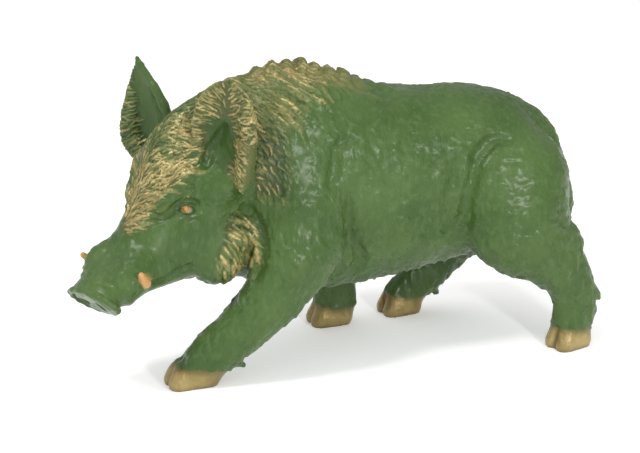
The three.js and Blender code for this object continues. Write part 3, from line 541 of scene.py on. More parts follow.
# The surface.
def surface(form, step):
    """Vertices and triangles of the zero surface, cut flat at the ground."""
    low = np.array([-178.0, -68.0, -2.5 * step])
    size = (np.array([178.0, 68.0, 204.0]) - low) // step + 2
    B = 8
    size = ((size + B - 1) // B * B).astype(int)
    blocks = size // B
    grid = np.stack(np.meshgrid(*[np.arange(n) for n in blocks], indexing="ij"), -1).reshape(-1, 3)
    centres = low + (grid * B + B / 2) * step
    mid = form.blended(centres, range(len(form.masses)))
    D = np.repeat(np.repeat(np.repeat(mid.reshape(blocks), B, 0), B, 1), B, 2).astype(np.float32)
    D = np.pad(D, ((0, 1),) * 3, mode="edge")
    live = np.zeros(D.shape, bool)
    for g in grid[np.abs(mid) < B * step * 1.15]:
        i, j, k = g * B
        live[i:i + B + 1, j:j + B + 1, k:k + B + 1] = True
    nodes = np.argwhere(live)
    P = low + nodes * step
    D[live] = np.maximum(form.values(P), -P[:, 2])
    inside = D < 0
    # How many corners of each cell lie inside.
    count = sum(
        inside[tuple(slice(k, n - 1 + k) for k, n in zip(o, inside.shape))].astype(np.uint8) for o in CORNERS)
    cells = np.argwhere((count > 0) & (count < 8))
    number = np.full(count.shape, -1, np.int64)
    number[tuple(cells.T)] = np.arange(len(cells))
    total, hits = np.zeros((len(cells), 3)), np.zeros(len(cells))
    for o1 in CORNERS:
        for axis in range(3):
            if o1[axis]:
                continue
            o2 = np.array(o1)
            o2[axis] = 1
            a = D[tuple((cells + o1).T)]
            b = D[tuple((cells + o2).T)]
            crosses = (a < 0) != (b < 0)
            t = np.where(crosses, a / np.where(crosses, a - b, 1), 0)
            spot = np.tile(np.array(o1, float), (len(cells), 1))
            spot[:, axis] += t
            total += spot * crosses[:, None]
            hits += crosses
    V = low + (cells + total / hits[:, None]) * step
    quads = []
    for axis in range(3):
        a = inside.take(range(0, inside.shape[axis] - 1), axis)
        b = inside.take(range(1, inside.shape[axis]), axis)
        edges = np.argwhere(a != b)
        u, v = (axis + 1) % 3, (axis + 2) % 3
        ring = []
        for du, dv in ((-1, -1), (0, -1), (0, 0), (-1, 0)):
            c = edges.copy()
            c[:, u] += du
            c[:, v] += dv
            ring.append(number[tuple(c.T)])
        q = np.stack(ring, 1)
        outward = a[tuple(edges.T)]
        quads.append(np.where(outward[:, None], q, q[:, ::-1]))
    Q = np.concatenate(quads)
    diagonals = [np.linalg.norm(V[Q[:, k]] - V[Q[:, k + 2]], axis=1) for k in (0, 1)]
    short = diagonals[0] < diagonals[1]
    T = np.concatenate([
        np.where(short[:, None], Q[:, [0, 1, 2]], Q[:, [0, 1, 3]]),
        np.where(short[:, None], Q[:, [0, 2, 3]], Q[:, [1, 2, 3]]),
    ])
    return V, T


def normals(V, T):
    n = np.cross(V[T[:, 1]] - V[T[:, 0]], V[T[:, 2]] - V[T[:, 0]])
    N = np.zeros_like(V)
    for k in range(3):
        np.add.at(N, T[:, k], n)
    return N / (np.linalg.norm(N, axis=1)[:, None] + 1e-12)


def settle(form, V, N, most, passes=1):
    """Slides vertices along their normals to the exact surface."""
    for _ in range(passes):
        f = form.values(V)
        free = V[:, 2] > 0.7
        V = V - N * (np.clip(f, -most, most) * free)[:, None]
    V[:, 2] = np.where(V[:, 2] < 0.45, 0, V[:, 2])
    return V


def split(V, T, marked):
    """Cuts each marked triangle into four, and its neighbours so that they still meet it."""
    E = np.sort(T[:, [0, 1, 1, 2, 2, 0]].reshape(-1, 2), 1)
    key = E[:, 0] * len(V) + E[:, 1]
    uniq, inverse = np.unique(key, return_inverse=True)
    wanted = np.zeros(len(uniq), bool)
    wanted[inverse.reshape(-1, 3)[marked].ravel()] = True
    new_id = np.full(len(uniq), -1)
    new_id[wanted] = len(V) + np.arange(wanted.sum())
    a, b = uniq[wanted] // len(V), uniq[wanted] % len(V)
    V2 = np.concatenate([V, (V[a] + V[b]) / 2])
    M = new_id[inverse].reshape(-1, 3)
    n = (M >= 0).sum(1)
    out = [T[n == 0]]
    t, m = T[n == 3], M[n == 3]
    out.append(np.stack((t[:, 0], m[:, 0], m[:, 2]), 1))
    out.append(np.stack((m[:, 0], t[:, 1], m[:, 1]), 1))
    out.append(np.stack((m[:, 2], m[:, 1], t[:, 2]), 1))
    out.append(m)
    for k in range(3):
        r = [k, (k + 1) % 3, (k + 2) % 3]
        one = (n == 1) & (M[:, k] >= 0)
        t, m = T[one][:, r], M[one][:, r]
        out.append(np.stack((t[:, 0], m[:, 0], t[:, 2]), 1))
        out.append(np.stack((m[:, 0], t[:, 1], t[:, 2]), 1))
        two = (n == 2) & (M[:, (k + 2) % 3] < 0)
        t, m = T[two][:, r], M[two][:, r]
        out.append(np.stack((m[:, 0], t[:, 1], m[:, 1]), 1))
        out.append(np.stack((t[:, 0], m[:, 0], m[:, 1]), 1))
        out.append(np.stack((t[:, 0], m[:, 1], t[:, 2]), 1))
    return V2, np.concatenate(out)


LATTICE_SIZE = 32
LATTICE = rng.random((LATTICE_SIZE,) * 3)


def noise(P, scale, shift=0.0):
    """Smooth noise between -1 and 1 with lumps about scale millimetres across."""
    q = P / scale + shift
    i = np.floor(q).astype(int)
    f = q - i
    f = f * f * (3 - 2 * f)
    out = 0
    for corner in CORNERS:
        wx, wy, wz = (f[:, k] if corner[k] else 1 - f[:, k] for k in range(3))
        cell = (i + corner) % LATTICE_SIZE
        out = out + wx * wy * wz * LATTICE[cell[:, 0], cell[:, 1], cell[:, 2]]
    return out * 2 - 1


# Where the coat is long, and how it lies.
# Lower edge of the gold brow: how far it reaches to the side, along the snout.
BROW_EDGE = np.array([
    (-24, 18), (-8, 20), (1, 19), (9, 20), (19, 24), (28, 20), (36, 17), (46, 12.5), (56, 8.5), (68, 3.5),
], float)
# Lower edge of the mane along the body: X, then height.
MANE_EDGE = np.array([
    (-84, 164), (-66, 164), (-52, 167), (-45, 165), (-37, 165), (-31, 171), (-25, 176), (-16, 181),
    (-4, 184), (9, 185), (20, 190),
], float)


def ear_place(leaf, P):
    """Weight of the ear at P, and how far up and across the ear P lies."""
    s, u, out = leaf.coords(P)
    along = (P - leaf.base) @ leaf.t / EAR_LENGTH
    near = smooth(-0.02, 0.1, along) * (1 - smooth(1.02, 1.1, along)) * (np.abs(u) < 1.6) * (np.abs(out) < 9)
    return near, s, u


def zones(P, N):
    """Weights from 0 to 1 of each zone of the coat at points P with normals N."""
    h = head_coords(P)
    a, b, c = h[:, 0], np.abs(h[:, 1]), h[:, 2]
    x, y, z = (P / mm).T
    ragged = 2.6 * noise(P, 4.5, 9.1) + 1.6 * noise(P, 2.2, 5.3)
    ear, band, hollow = np.zeros(len(P)), np.zeros(len(P)), np.zeros(len(P))
    for leaf in EARS:
        near, s, u = ear_place(leaf, P)
        ear = np.maximum(ear, near)
        front = (N @ leaf.n) > -0.1
        edge = smooth(0.30, 0.46, u + 0.05 * ragged + 0.12 * (1 - s) - (0.0 if leaf is EARS[-1] else 0.16))
        if leaf.blunt:
            edge = np.maximum(edge, smooth(0.56, 0.66, s + 0.02 * ragged))
            edge = np.maximum(edge, smooth(0.55, 0.7, -u + 0.04 * ragged) * smooth(0.2, 0.3, s))
        edge = np.maximum(edge, (~front) * 0.8)
        if not leaf.blunt:
            edge = edge * smooth(-0.1, 0.2, u)
        else:
            edge = edge * (1 - smooth(0.78, 0.88, u + 0.02 * ragged) * (1 - smooth(0.45, 0.6, s)))
        band = np.maximum(band, near * edge)
        hollow = np.maximum(hollow, near * front * (1 - edge))
    body = 1 - smooth(0.2, 0.6, ear)
    side_edge = np.interp(a, BROW_EDGE[:, 0], BROW_EDGE[:, 1]) + ragged
    skull = smooth(-30, -24, a) * (1 - smooth(66, 70, a + ragged)) * (1 - smooth(-1.0, 1.5, b - side_edge))
    skull = skull * smooth(-13, -9, c) * body
    low = np.interp(x, MANE_EDGE[:, 0], MANE_EDGE[:, 1]) + 2.2 * ragged
    mane = smooth(-94, -86, x) * (1 - smooth(18, 30, x)) * smooth(-2, 3, z - low) * body * (1 - skull)
    top = z - station(TRUNK, 1, P[:, 0]) / mm
    tufts = smooth(-84, -78, x) * (1 - smooth(14, 24, x)) * smooth(-7, -4, top)
    tufts = tufts * (np.abs(y + 2) < 13) * body * (1 - skull)
    wisps = smooth(-60, -55, x) * (1 - smooth(-42, -37, x)) * smooth(118, 126, z)
    wisps = wisps * body * (1 - mane) * (np.abs(y) > 20)
    ruff = smooth(0, 3, a - 23 - 0.8 * np.maximum(-c - 47, 0) + 0.4 * ragged)
    ruff = ruff * (1 - smooth(54, 57, a + 0.4 * ragged))
    ruff = ruff * (1 - smooth(-32, -29, c + 0.3 * (a - 27) + 0.4 * ragged))
    ruff = ruff * smooth(-64, -60, c) * smooth(26, 30, b) * body
    ruff = ruff * (1 - smooth(-60, -56, x)) * (1 - smooth(42, 46, b))
    return {
        "ear": ear, "band": band, "hollow": hollow, "skull": skull,
        "mane": mane, "wisps": wisps, "ruff": ruff, "tufts": tufts,
    }


def gold_share(P, zone):
    """How much of the hair is gold in each place."""
    h = head_coords(P)
    a, b = h[:, 0], np.abs(h[:, 1])
    x, z = P[:, 0] / mm, P[:, 2] / mm
    patch = smooth(-0.5, 0.5, noise(P, 11, 6.6))
    far = 1 - smooth(-12, -4, h[:, 1])
    dense = smooth(-4, 4, a - 30 + 0.72 * b) * (1 - 0.6 * far)
    brow = 0.06 + 0.07 * smooth(-8, 4, a) + 0.95 * dense + 0.2 * (1 - smooth(-10, -2, a)) * smooth(4, 12, b)
    low = np.interp(x, MANE_EDGE[:, 0], MANE_EDGE[:, 1])
    mane = (0.10 + 0.20 * patch) * (1 - 0.8 * smooth(-28, -8, x)) * (0.55 + 0.45 * smooth(-4, 8, z - low))
    share = zone["skull"] * np.clip(brow, 0, 1) * (0.7 + 0.3 * patch)
    share = np.maximum(share, zone["mane"] * mane)
    share = np.maximum(share, zone["wisps"] * 0.3 * (1 - smooth(-47, -43, x)))
    share = np.maximum(share, zone["ruff"] * 0.26)
    share = np.maximum(share, zone["band"] * 0.55)
    right, _, u = ear_place(EARS[0], P)
    return np.where(right > 0.3, share * 0.15 * (u > 0.2), share)


def lie(P, N):
    """The direction of the hair at points P: along the skin."""
    h = head_coords(P)
    a, b, c = h[:, 0], h[:, 1], h[:, 2]
    side = np.sign(b)
    x, y, z = (P / mm).T
    flat = np.sign(y + 1e-6)
    Z = np.zeros(len(P))
    guides = []

    def guide(weight, direction):
        guides.append(weight[:, None] * direction / (np.linalg.norm(direction, axis=1)[:, None] + 1e-9))

    def head_dir(ka, kb, kc):
        return ka[:, None] * snoutwards + kb[:, None] * leftwards + kc[:, None] * browwards

    on_h = smooth(-30, 0, a + np.maximum(-c - 60, 0)) * (1 - smooth(-62, -55, x))
    one = np.ones(len(P))
    # The brow: back from the snout and out to the sides.
    outwards = (0.45 + 0.65 * smooth(-4, 16, a)) * np.clip((b + 8) / 9, -1, 1)
    guide(on_h * smooth(-18, -6, c) * 3, head_dir(-0.72 * one, outwards, Z))
    # Cheek and ruff: back and down.
    drop = 1 - smooth(-40, -28, c)
    guide(on_h * (1 - smooth(-18, -6, c)) * 2, head_dir(-0.55 + 0.85 * drop, side * 0.2, -0.25 - 0.95 * drop))
    # Neck and mane: back and down, steeper lower down.
    down = smooth(0, 60, station(TRUNK, 1, P[:, 0]) / mm - z)
    back_down = np.stack([0.85 - 0.4 * down, flat * 0.25, -0.62 - 0.5 * down], 1)
    guide((1 - on_h) * (1 - smooth(-10, 40, x)) * 2, back_down)
    # Back and flank.
    guide((1 - on_h) * smooth(-10, 40, x) * (z > 0), np.stack([one, Z, -0.15 - 0.5 * smooth(100, 150, x)], 1))
    # Legs: down, along each leg.
    low = 1 - smooth(60, 84, z)
    near_fore = (y < -10) & (x < 20)
    guide(low * near_fore * 4, np.stack([-0.7 * one, Z, -0.75 * one], 1))
    guide(low * (~near_fore) * 4, np.stack([Z + 0.1, Z, -one], 1))
    d = sum(guides)
    swirl = np.stack([noise(P, 14, shift) for shift in (3.1, 7.7, 11.3)], 1)
    d += 0.35 * np.linalg.norm(d, axis=1)[:, None] * swirl
    for leaf in EARS:
        near, s, u = ear_place(leaf, P)
        out_way = leaf.w * np.sign(u)[:, None] * (0.25 + np.abs(u))[:, None]
        out_way = out_way + leaf.t * (0.9 * s - 0.35)[:, None]
        d = d * (1 - near)[:, None] + out_way * near[:, None] * np.linalg.norm(d, axis=1)[:, None]
    d -= N * (d * N).sum(1)[:, None]
    return d / (np.linalg.norm(d, axis=1)[:, None] + 1e-9)


class Coat:
    """Strands laid over vertices V with normals N. lift and gold gather what they add."""

    def __init__(self, V, N):
        self.V, self.N, self.places = V, N, V.tolist()
        self.lift, self.gold = np.zeros(len(V)), np.zeros(len(V))
        self.tree = kdtree.KDTree(len(V))
        for i, v in enumerate(self.places):
            self.tree.insert(v, i)
        self.tree.balance()

    def seeds(self, weight, gap):
        """Vertices at least gap apart, where a random draw stays under weight."""
        pick = np.nonzero(rng.random(len(self.V)) < weight)[0]
        rng.shuffle(pick)
        taken, kept = {}, []
        cells = np.floor(self.V[pick] / gap).astype(int)
        for i, (cx, cy, cz) in zip(pick.tolist(), cells.tolist()):
            x, y, z = self.places[i]
            around = [p for dx, dy, dz in NEIGHBOURS for p in taken.get((cx + dx, cy + dy, cz + dz), ())]
            if all((x - p[0]) ** 2 + (y - p[1]) ** 2 + (z - p[2]) ** 2 >= gap * gap for p in around):
                taken.setdefault((cx, cy, cz), []).append((x, y, z))
                kept.append(i)
        return np.array(kept, int)

    def lay(self, roots, length, width, height, gold, bend=0.25, tip=0.5, stray=0.25, rise=0.35):
        """Lays one strand from each root vertex. length, width, height and gold are per strand."""
        if not len(roots):
            return
        P, N = self.V[roots], self.N[roots]
        D = lie(P, N)
        B = np.cross(N, D)
        turn = rng.normal(0, stray, len(roots))
        D = D * np.cos(turn)[:, None] + B * np.sin(turn)[:, None]
        B = np.cross(N, D)
        curl = rng.normal(0, bend, len(roots))
        who, what = [], []
        middle = P + D * (length / 2)[:, None]
        for i, (m, r) in enumerate(zip(middle.tolist(), (length * 0.5 + width).tolist())):
            found = [j for _, j, _ in self.tree.find_range(m, r)]
            who += [i] * len(found)
            what += found
        who, what = np.array(who, int), np.array(what, int)
        q = self.V[what] - P[who]
        s = (q * D[who]).sum(1) / length[who]
        across = (q * B[who]).sum(1) - curl[who] * length[who] * (s * s - s * 0.5)
        w = width[who] * 0.5 * np.clip(smooth(-0.05, 0.25, s) * (1 - tip * smooth(0.4, 1.0, s)), 0.05, 1)
        r = across / w
        facing = (self.N[what] * N[who]).sum(1) > 0.25
        use = (s > -0.02) & (s < 1.02) & (np.abs(r) < 1) & facing
        who, what, s, r = who[use], what[use], s[use], r[use]
        ridge = np.sqrt(1 - r * r)
        ends = smooth(-0.02, 0.16, s) * (1 - smooth(0.86, 1.02, s))
        lift = height[who] * ridge * ends * (1 - rise + rise * s)
        np.maximum.at(self.lift, what, lift)
        np.maximum.at(self.gold, what, gold[who] * smooth(0.45, 0.92, ridge * ends))


def mesh_object(name, V, T, attributes):
    mesh = bpy.data.meshes.new(name)
    mesh.vertices.add(len(V))
    mesh.vertices.foreach_set("co", (V * 0.001).astype(np.float32).ravel())
    mesh.loops.add(len(T) * 3)
    mesh.loops.foreach_set("vertex_index", T.astype(np.int32).ravel())
    mesh.polygons.add(len(T))
    mesh.polygons.foreach_set("loop_start", np.arange(0, len(T) * 3, 3, dtype=np.int32))
    mesh.polygons.foreach_set("use_smooth", np.ones(len(T), bool))
    mesh.update()
    mesh.validate()
    for key, value in attributes.items():
        layer = mesh.attributes.new(key, "FLOAT", "POINT")
        layer.data.foreach_set("value", value.astype(np.float32))
    obj = bpy.data.objects.new(name, mesh)
    bpy.context.scene.collection.objects.link(obj)
    return obj


# Zones where the hair is long.
HAIRY = ("skull", "mane", "ruff", "band", "wisps")


def long_hair(zone):
    return np.maximum.reduce([zone[key] for key in HAIRY])


def fine_surface(form):
    """Vertices, triangles and normals of the form, finer on the face and where the hair is long."""
    V, T = surface(form, CELL)
    V = settle(form, V, normals(V, T), CELL * 0.5, 2)
    h = head_coords(V)
    face = (h[:, 0] > 20) & (h[:, 2] > -60) & (h[:, 0] < 122)
    fine = (long_hair(zones(V, normals(V, T))) > 0.05) | face
    V, T = split(V, T, fine[T].any(1))
    V = settle(form, V, normals(V, T), CELL * 0.3)
    return V, T, normals(V, T)


def modelling(V, zone):
    """The body's uneven modelling, and the weights of the skin, the muzzle and the bare face."""
    h = head_coords(V)
    a, c = h[:, 0], h[:, 2]
    skin = (1 - zone["ear"]) * smooth(2, 12, V[:, 2] / mm)
    muzzle = smooth(58, 76, a) * (c > -60)
    face = smooth(20, 34, a) * (c > -46) * (1 - zone["skull"])
    calm = 1 - 0.75 * np.maximum(muzzle, face)
    base = 0.8 * noise(V, 19, 1.7) * skin * calm
    base += 0.5 * noise(V, 9, 4.2) * skin * calm
    base += (0.30 * noise(V, 4, 8.4) + 0.16 * noise(V, 2.2, 5.1)) * skin * (0.4 + 0.6 * calm)
    # Crinkles on the bridge, and wrinkles across it behind the snout's disc.
    bridge = smooth(64, 74, a) * (1 - smooth(104, 108, a)) * smooth(-14, -4, c)
    base += 0.5 * noise(V, 2.6, 6.1) * bridge
    wrinkled = bridge * smooth(84, 92, a)
    base += 0.22 * np.sin(2 * math.pi * (a + 2.2 * noise(V, 7, 3.9)) / 4.2) * wrinkled
    return base, skin, muzzle, face


def per(n, low, high):
    """A random size for each of n strands."""
    return rng.uniform(low, high, n)


def strands(coat, weight, gap, length, width, height, share=None, **how):
    """Strands with sizes between the given pairs. share says how many are gold in each place."""
    roots = coat.seeds(weight, gap)
    n = len(roots)
    gilt = np.zeros(n)
    if share is not None:
        gilt = np.where(rng.random(n) < share[roots], per(n, 0.65, 1.0), per(n, 0.0, 0.3))
    coat.lay(roots, per(n, *length), per(n, *width), per(n, *height), gilt, **how)


def comb(V, N, zone, share, skin, muzzle, face):
    """The whole coat, and apart from it the lift and the gold of the broad locks under it."""
    coat = Coat(V, N)
    z = V[:, 2] / mm

    def hair(key, *sizes, weight=0.9, **how):
        strands(coat, zone[key] * weight, *sizes, share=share, **how)

    # Long hair: broad locks first, then strands over them.
    hair("ruff", 5.2, (10, 16), (4.2, 6.2), (1.4, 2.4), bend=0.3, tip=0.9)
    hair("mane", 6.0, (13, 20), (4, 6), (0.9, 1.6), bend=0.2, tip=0.8)
    hair("skull", 5.5, (10, 15), (3.5, 5), (0.6, 1.1), bend=0.2, tip=0.8)
    hair("wisps", 6.5, (8, 12), (2.6, 4), (0.5, 0.9), bend=0.2, tip=0.8)
    hair("tufts", 9.0, (8, 12), (6, 8), (0.8, 1.5), weight=1.0, bend=0.2, tip=0.8)
    locks_lift, locks_gold = coat.lift.copy(), coat.gold.copy()
    coat.lift[:] = 0
    coat.gold[:] = 0
    hair("ruff", 2.6, (6, 11), (1.5, 2.3), (0.5, 0.8), bend=0.15, stray=0.16)
    hair("mane", 1.8, (7, 11), (1.0, 1.5), (0.6, 0.95), bend=0.15, stray=0.18)
    hair("skull", 1.7, (4.5, 8), (1.0, 1.4), (0.55, 0.85), bend=0.25, stray=0.28)
    hair("band", 2.0, (6, 10), (1.0, 1.5), (0.6, 0.9), bend=0.15, stray=0.22)
    hair("wisps", 3.4, (4.5, 7.5), (1.1, 1.7), (0.5, 0.85), bend=0.15, stray=0.2)
    # Short coat on the rest, and tufts on the legs and the belly.
    short = skin * (1 - np.clip(long_hair(zone), 0, 1)) * (1 - muzzle) * (1 - face)
    strands(coat, short * 0.35, 3.4, (4.5, 9), (1.6, 2.6), (0.2, 0.6), bend=0.2, stray=0.35)
    shag = skin * (1 - smooth(64, 104, z + 12 * noise(V, 20, 3.3))) * (1 - muzzle) * (1 - face) * (z > 15)
    strands(coat, shag * 0.5, 6, (9, 15), (4, 6.5), (0.9, 1.9), bend=0.2, stray=0.3, tip=0.75, rise=0.7)
    return coat, locks_lift, locks_gold


def painted_groove_shade(V, form):
    """Painted shade in the narrow grooves: how much darker each vertex is painted."""
    groove_shade = np.zeros(len(V))
    for m in form.masses:
        if m.groove and m.blend < PAINTED_BLEND * mm:
            near = np.nonzero(((V - m.middle) ** 2).sum(1) < (m.reach + 3) ** 2)[0]
            groove_shade[near] = np.maximum(groove_shade[near], 1 - smooth(-0.4, 0.9, m.value(V[near])))
    return groove_shade


def hoof_paint(V):
    """The hooves, and their darker rims: the upper edge, and painted shade at the sole and in the cleft."""
    mask, rim = np.zeros(len(V)), np.zeros(len(V))
    z = V[:, 2] / mm
    up = z + 0.8 * noise(V, 3, 2.0)
    for centre, ahead, left in HOOVES:
        q = V - centre
        f = q @ ahead / mm
        near = (np.abs(f) < 26) & (np.abs(q @ left) < 20)
        edge = 12.8 + 0.12 * f
        mask = np.maximum(mask, near * (1 - smooth(edge - 0.8, edge + 0.8, up)))
        cleft = (1 - smooth(0.8, 1.8, np.abs(q @ left) / mm)) * (f > 6)
        # Darker towards the upper edge; painted shade along the sole and in the cleft.
        for dark in ((1 - smooth(0.6, 2.6, z)) * 0.7, smooth(edge - 3.4, edge - 1.0, up), cleft * 0.8):
            rim = np.maximum(rim, near * dark)
    return mask, rim


def tusk_paint(V):
    tusk = np.zeros(len(V))
    for a, b in TUSKS:
        ab = b - a
        t = np.clip((V - a) @ ab / (ab @ ab), 0, 1)
        d = np.linalg.norm(V - a - t[:, None] * ab, axis=1) + t * TUSK_RADIUS * 0.45
        tusk = np.maximum(tusk, 1 - smooth(TUSK_RADIUS * 1.02, TUSK_RADIUS * 1.25, d))
    return tusk


def eye_forms(V):
    """The eyes, the lids around them, and the seams between."""
    eye, lid, seam = np.zeros(len(V)), np.zeros(len(V)), np.zeros(len(V))
    for e in EYES:
        q = (V - e) @ HEAD_AXES.T
        wide, high = -0.474 * q[:, 0] - 0.88 * q[:, 2], -0.88 * q[:, 0] + 0.474 * q[:, 2]
        d = np.sqrt((wide / 1.2) ** 2 + (q[:, 1] / 1.3) ** 2 + (high / 0.72) ** 2) / EYE_RADIUS
        eye = np.maximum(eye, 1 - smooth(0.72, 0.88, d))
        ring = smooth(0.95, 1.1, d) * (1 - smooth(1.35, 1.8, d))
        lid = np.maximum(lid, ring * (0.35 + 0.65 * smooth(-0.3, 0.8, high / EYE_RADIUS)))
        seam = np.maximum(seam, smooth(0.9, 1.02, d) * (1 - smooth(1.15, 1.35, d)))
    return eye, lid, seam


def painted_hollow_shade(V, zone):
    """Painted shade inside the nostrils, and in the hollow between each ear's outer margin and the neck."""
    dark = np.zeros(len(V))
    a = head_coords(V)[:, 0]
    for side in (-1, 1):
        off = V - on_head(112, 8 * side - 2, -5)
        off = off - (off @ snoutwards)[:, None] * snoutwards
        inside = (1 - smooth(3.4, 4.4, np.linalg.norm(off, axis=1) / mm)) * (a > 104)
        dark = np.maximum(dark, inside * smooth(-0.6, 0.2, 113 - a))
    for ear in EARS:
        margin = np.array([ear.point(t, 0.86) - ear.n * 6 * mm for t in np.linspace(-0.05, 0.5, 12)])
        near = np.nonzero(np.linalg.norm(V - ear.base, axis=1) < EAR_LENGTH)[0]
        gap = np.linalg.norm(V[near][:, None] - margin[None], axis=2).min(1)
        dark[near] = np.maximum(dark[near], (1 - smooth(3, 9, gap)) * (1 - zone["ear"][near]))
    return dark


def painted_leg_belly_shade(V, N):
    """Painted shade on the inner sides of the legs and under the belly."""
    inner = 0.45 * smooth(0.1, 0.7, -np.sign(V[:, 1]) * N[:, 1]) * (1 - smooth(75, 95, V[:, 2] / mm))
    under = 0.4 * smooth(0.35, 0.95, -N[:, 2]) * (head_coords(V)[:, 0] < 20)
    return np.maximum(inner * (V[:, 0] > -70 * mm), under)


def build_boar():
    """Vertices and triangles of the boar with its coat, and what the paint reads at each vertex."""
    masses = trunk() + head() + ears() + legs() + tail() + crest()
    form = Form(masses + grooves(Form(masses)))
    V, T, N = fine_surface(form)
    zone = zones(V, N)
    share = gold_share(V, zone)
    hair = long_hair(zone)
    base, skin, muzzle, face = modelling(V, zone)
    coat, locks_lift, locks_gold = comb(V, N, zone, share, skin, muzzle, face)
    hoof, hoof_rim_and_shade = hoof_paint(V)
    tusk = tusk_paint(V)
    eye, lid, seam = eye_forms(V)
    soft = 1 - np.clip(hoof + tusk + eye, 0, 1)

    lift = base * (1 - 0.7 * hair) - 1.1 * zone["mane"] - 0.6 * zone["skull"] + locks_lift + coat.lift
    lift = (lift - 0.25 * np.clip(hair, 0, 1)) * (smooth(0.5, 3, V[:, 2] / mm) * soft)
    lift += 1.0 * lid - 0.5 * seam
    gold = np.maximum(coat.gold, locks_gold * (0.3 + 0.25 * zone["ruff"]))
    # Painted shade: darker in the gaps between strands, the grooves, the nostrils and the hollows by the
    # ears, inside the ear cups, in the seam round each eye, on the inner legs, under the belly and behind the
    # ears.
    painted_shade_and_rims = (1 - smooth(0.0, 0.5, locks_lift * 0.35 + coat.lift)) * hair + 0.75 * painted_groove_shade(V, form)
    painted_shade_and_rims = painted_shade_and_rims + 0.8 * painted_hollow_shade(V, zone) + 0.35 * zone["hollow"] + 0.9 * seam + painted_leg_belly_shade(V, N)
    painted_shade_and_rims = painted_shade_and_rims + 0.3 * zone["wisps"]
    near, _, u = ear_place(EARS[-1], V)
    margin = near * smooth(0.75, 0.85, u) * (1 - zone["band"])
    dusted = share + 0.9 * zone["tufts"] * smooth(-60, -40, V[:, 0] / mm) + 0.15 * zone["mane"] + 0.7 * margin
    attributes = {
        "gold": gold * soft,
        # On the hooves this carries their darker rims, with painted shade along the sole and in the cleft.
        "painted_shade_and_rims": np.clip(painted_shade_and_rims, 0, 1) * soft + hoof_rim_and_shade * hoof,
        "dusted": np.clip(dusted, 0, 1),
        "hoof": hoof,
        "tusk": tusk,
        "eye": eye,
    }
    V = V + N * (lift * mm)[:, None] + CENTRING
    V[:, 2] = np.maximum(V[:, 2], 0)
    return V, T, attributes


V, T, attributes = build_boar()
boar = mesh_object("wild_boar", V, T, attributes)
if len(T) > TRIANGLES:
    trim = boar.modifiers.new("trim", "DECIMATE")
    trim.ratio = TRIANGLES / len(T)
    depsgraph = bpy.context.evaluated_depsgraph_get()
    trimmed = bpy.data.meshes.new_from_object(boar.evaluated_get(depsgraph))
    boar.modifiers.clear()
    boar.data = trimmed
for p in boar.data.polygons:
    p.use_smooth = True


# Paint.
def fill(node, values):
    """Sets inputs of a node by name."""
    for name, value in values.items():
        node.inputs[name].default_value = value


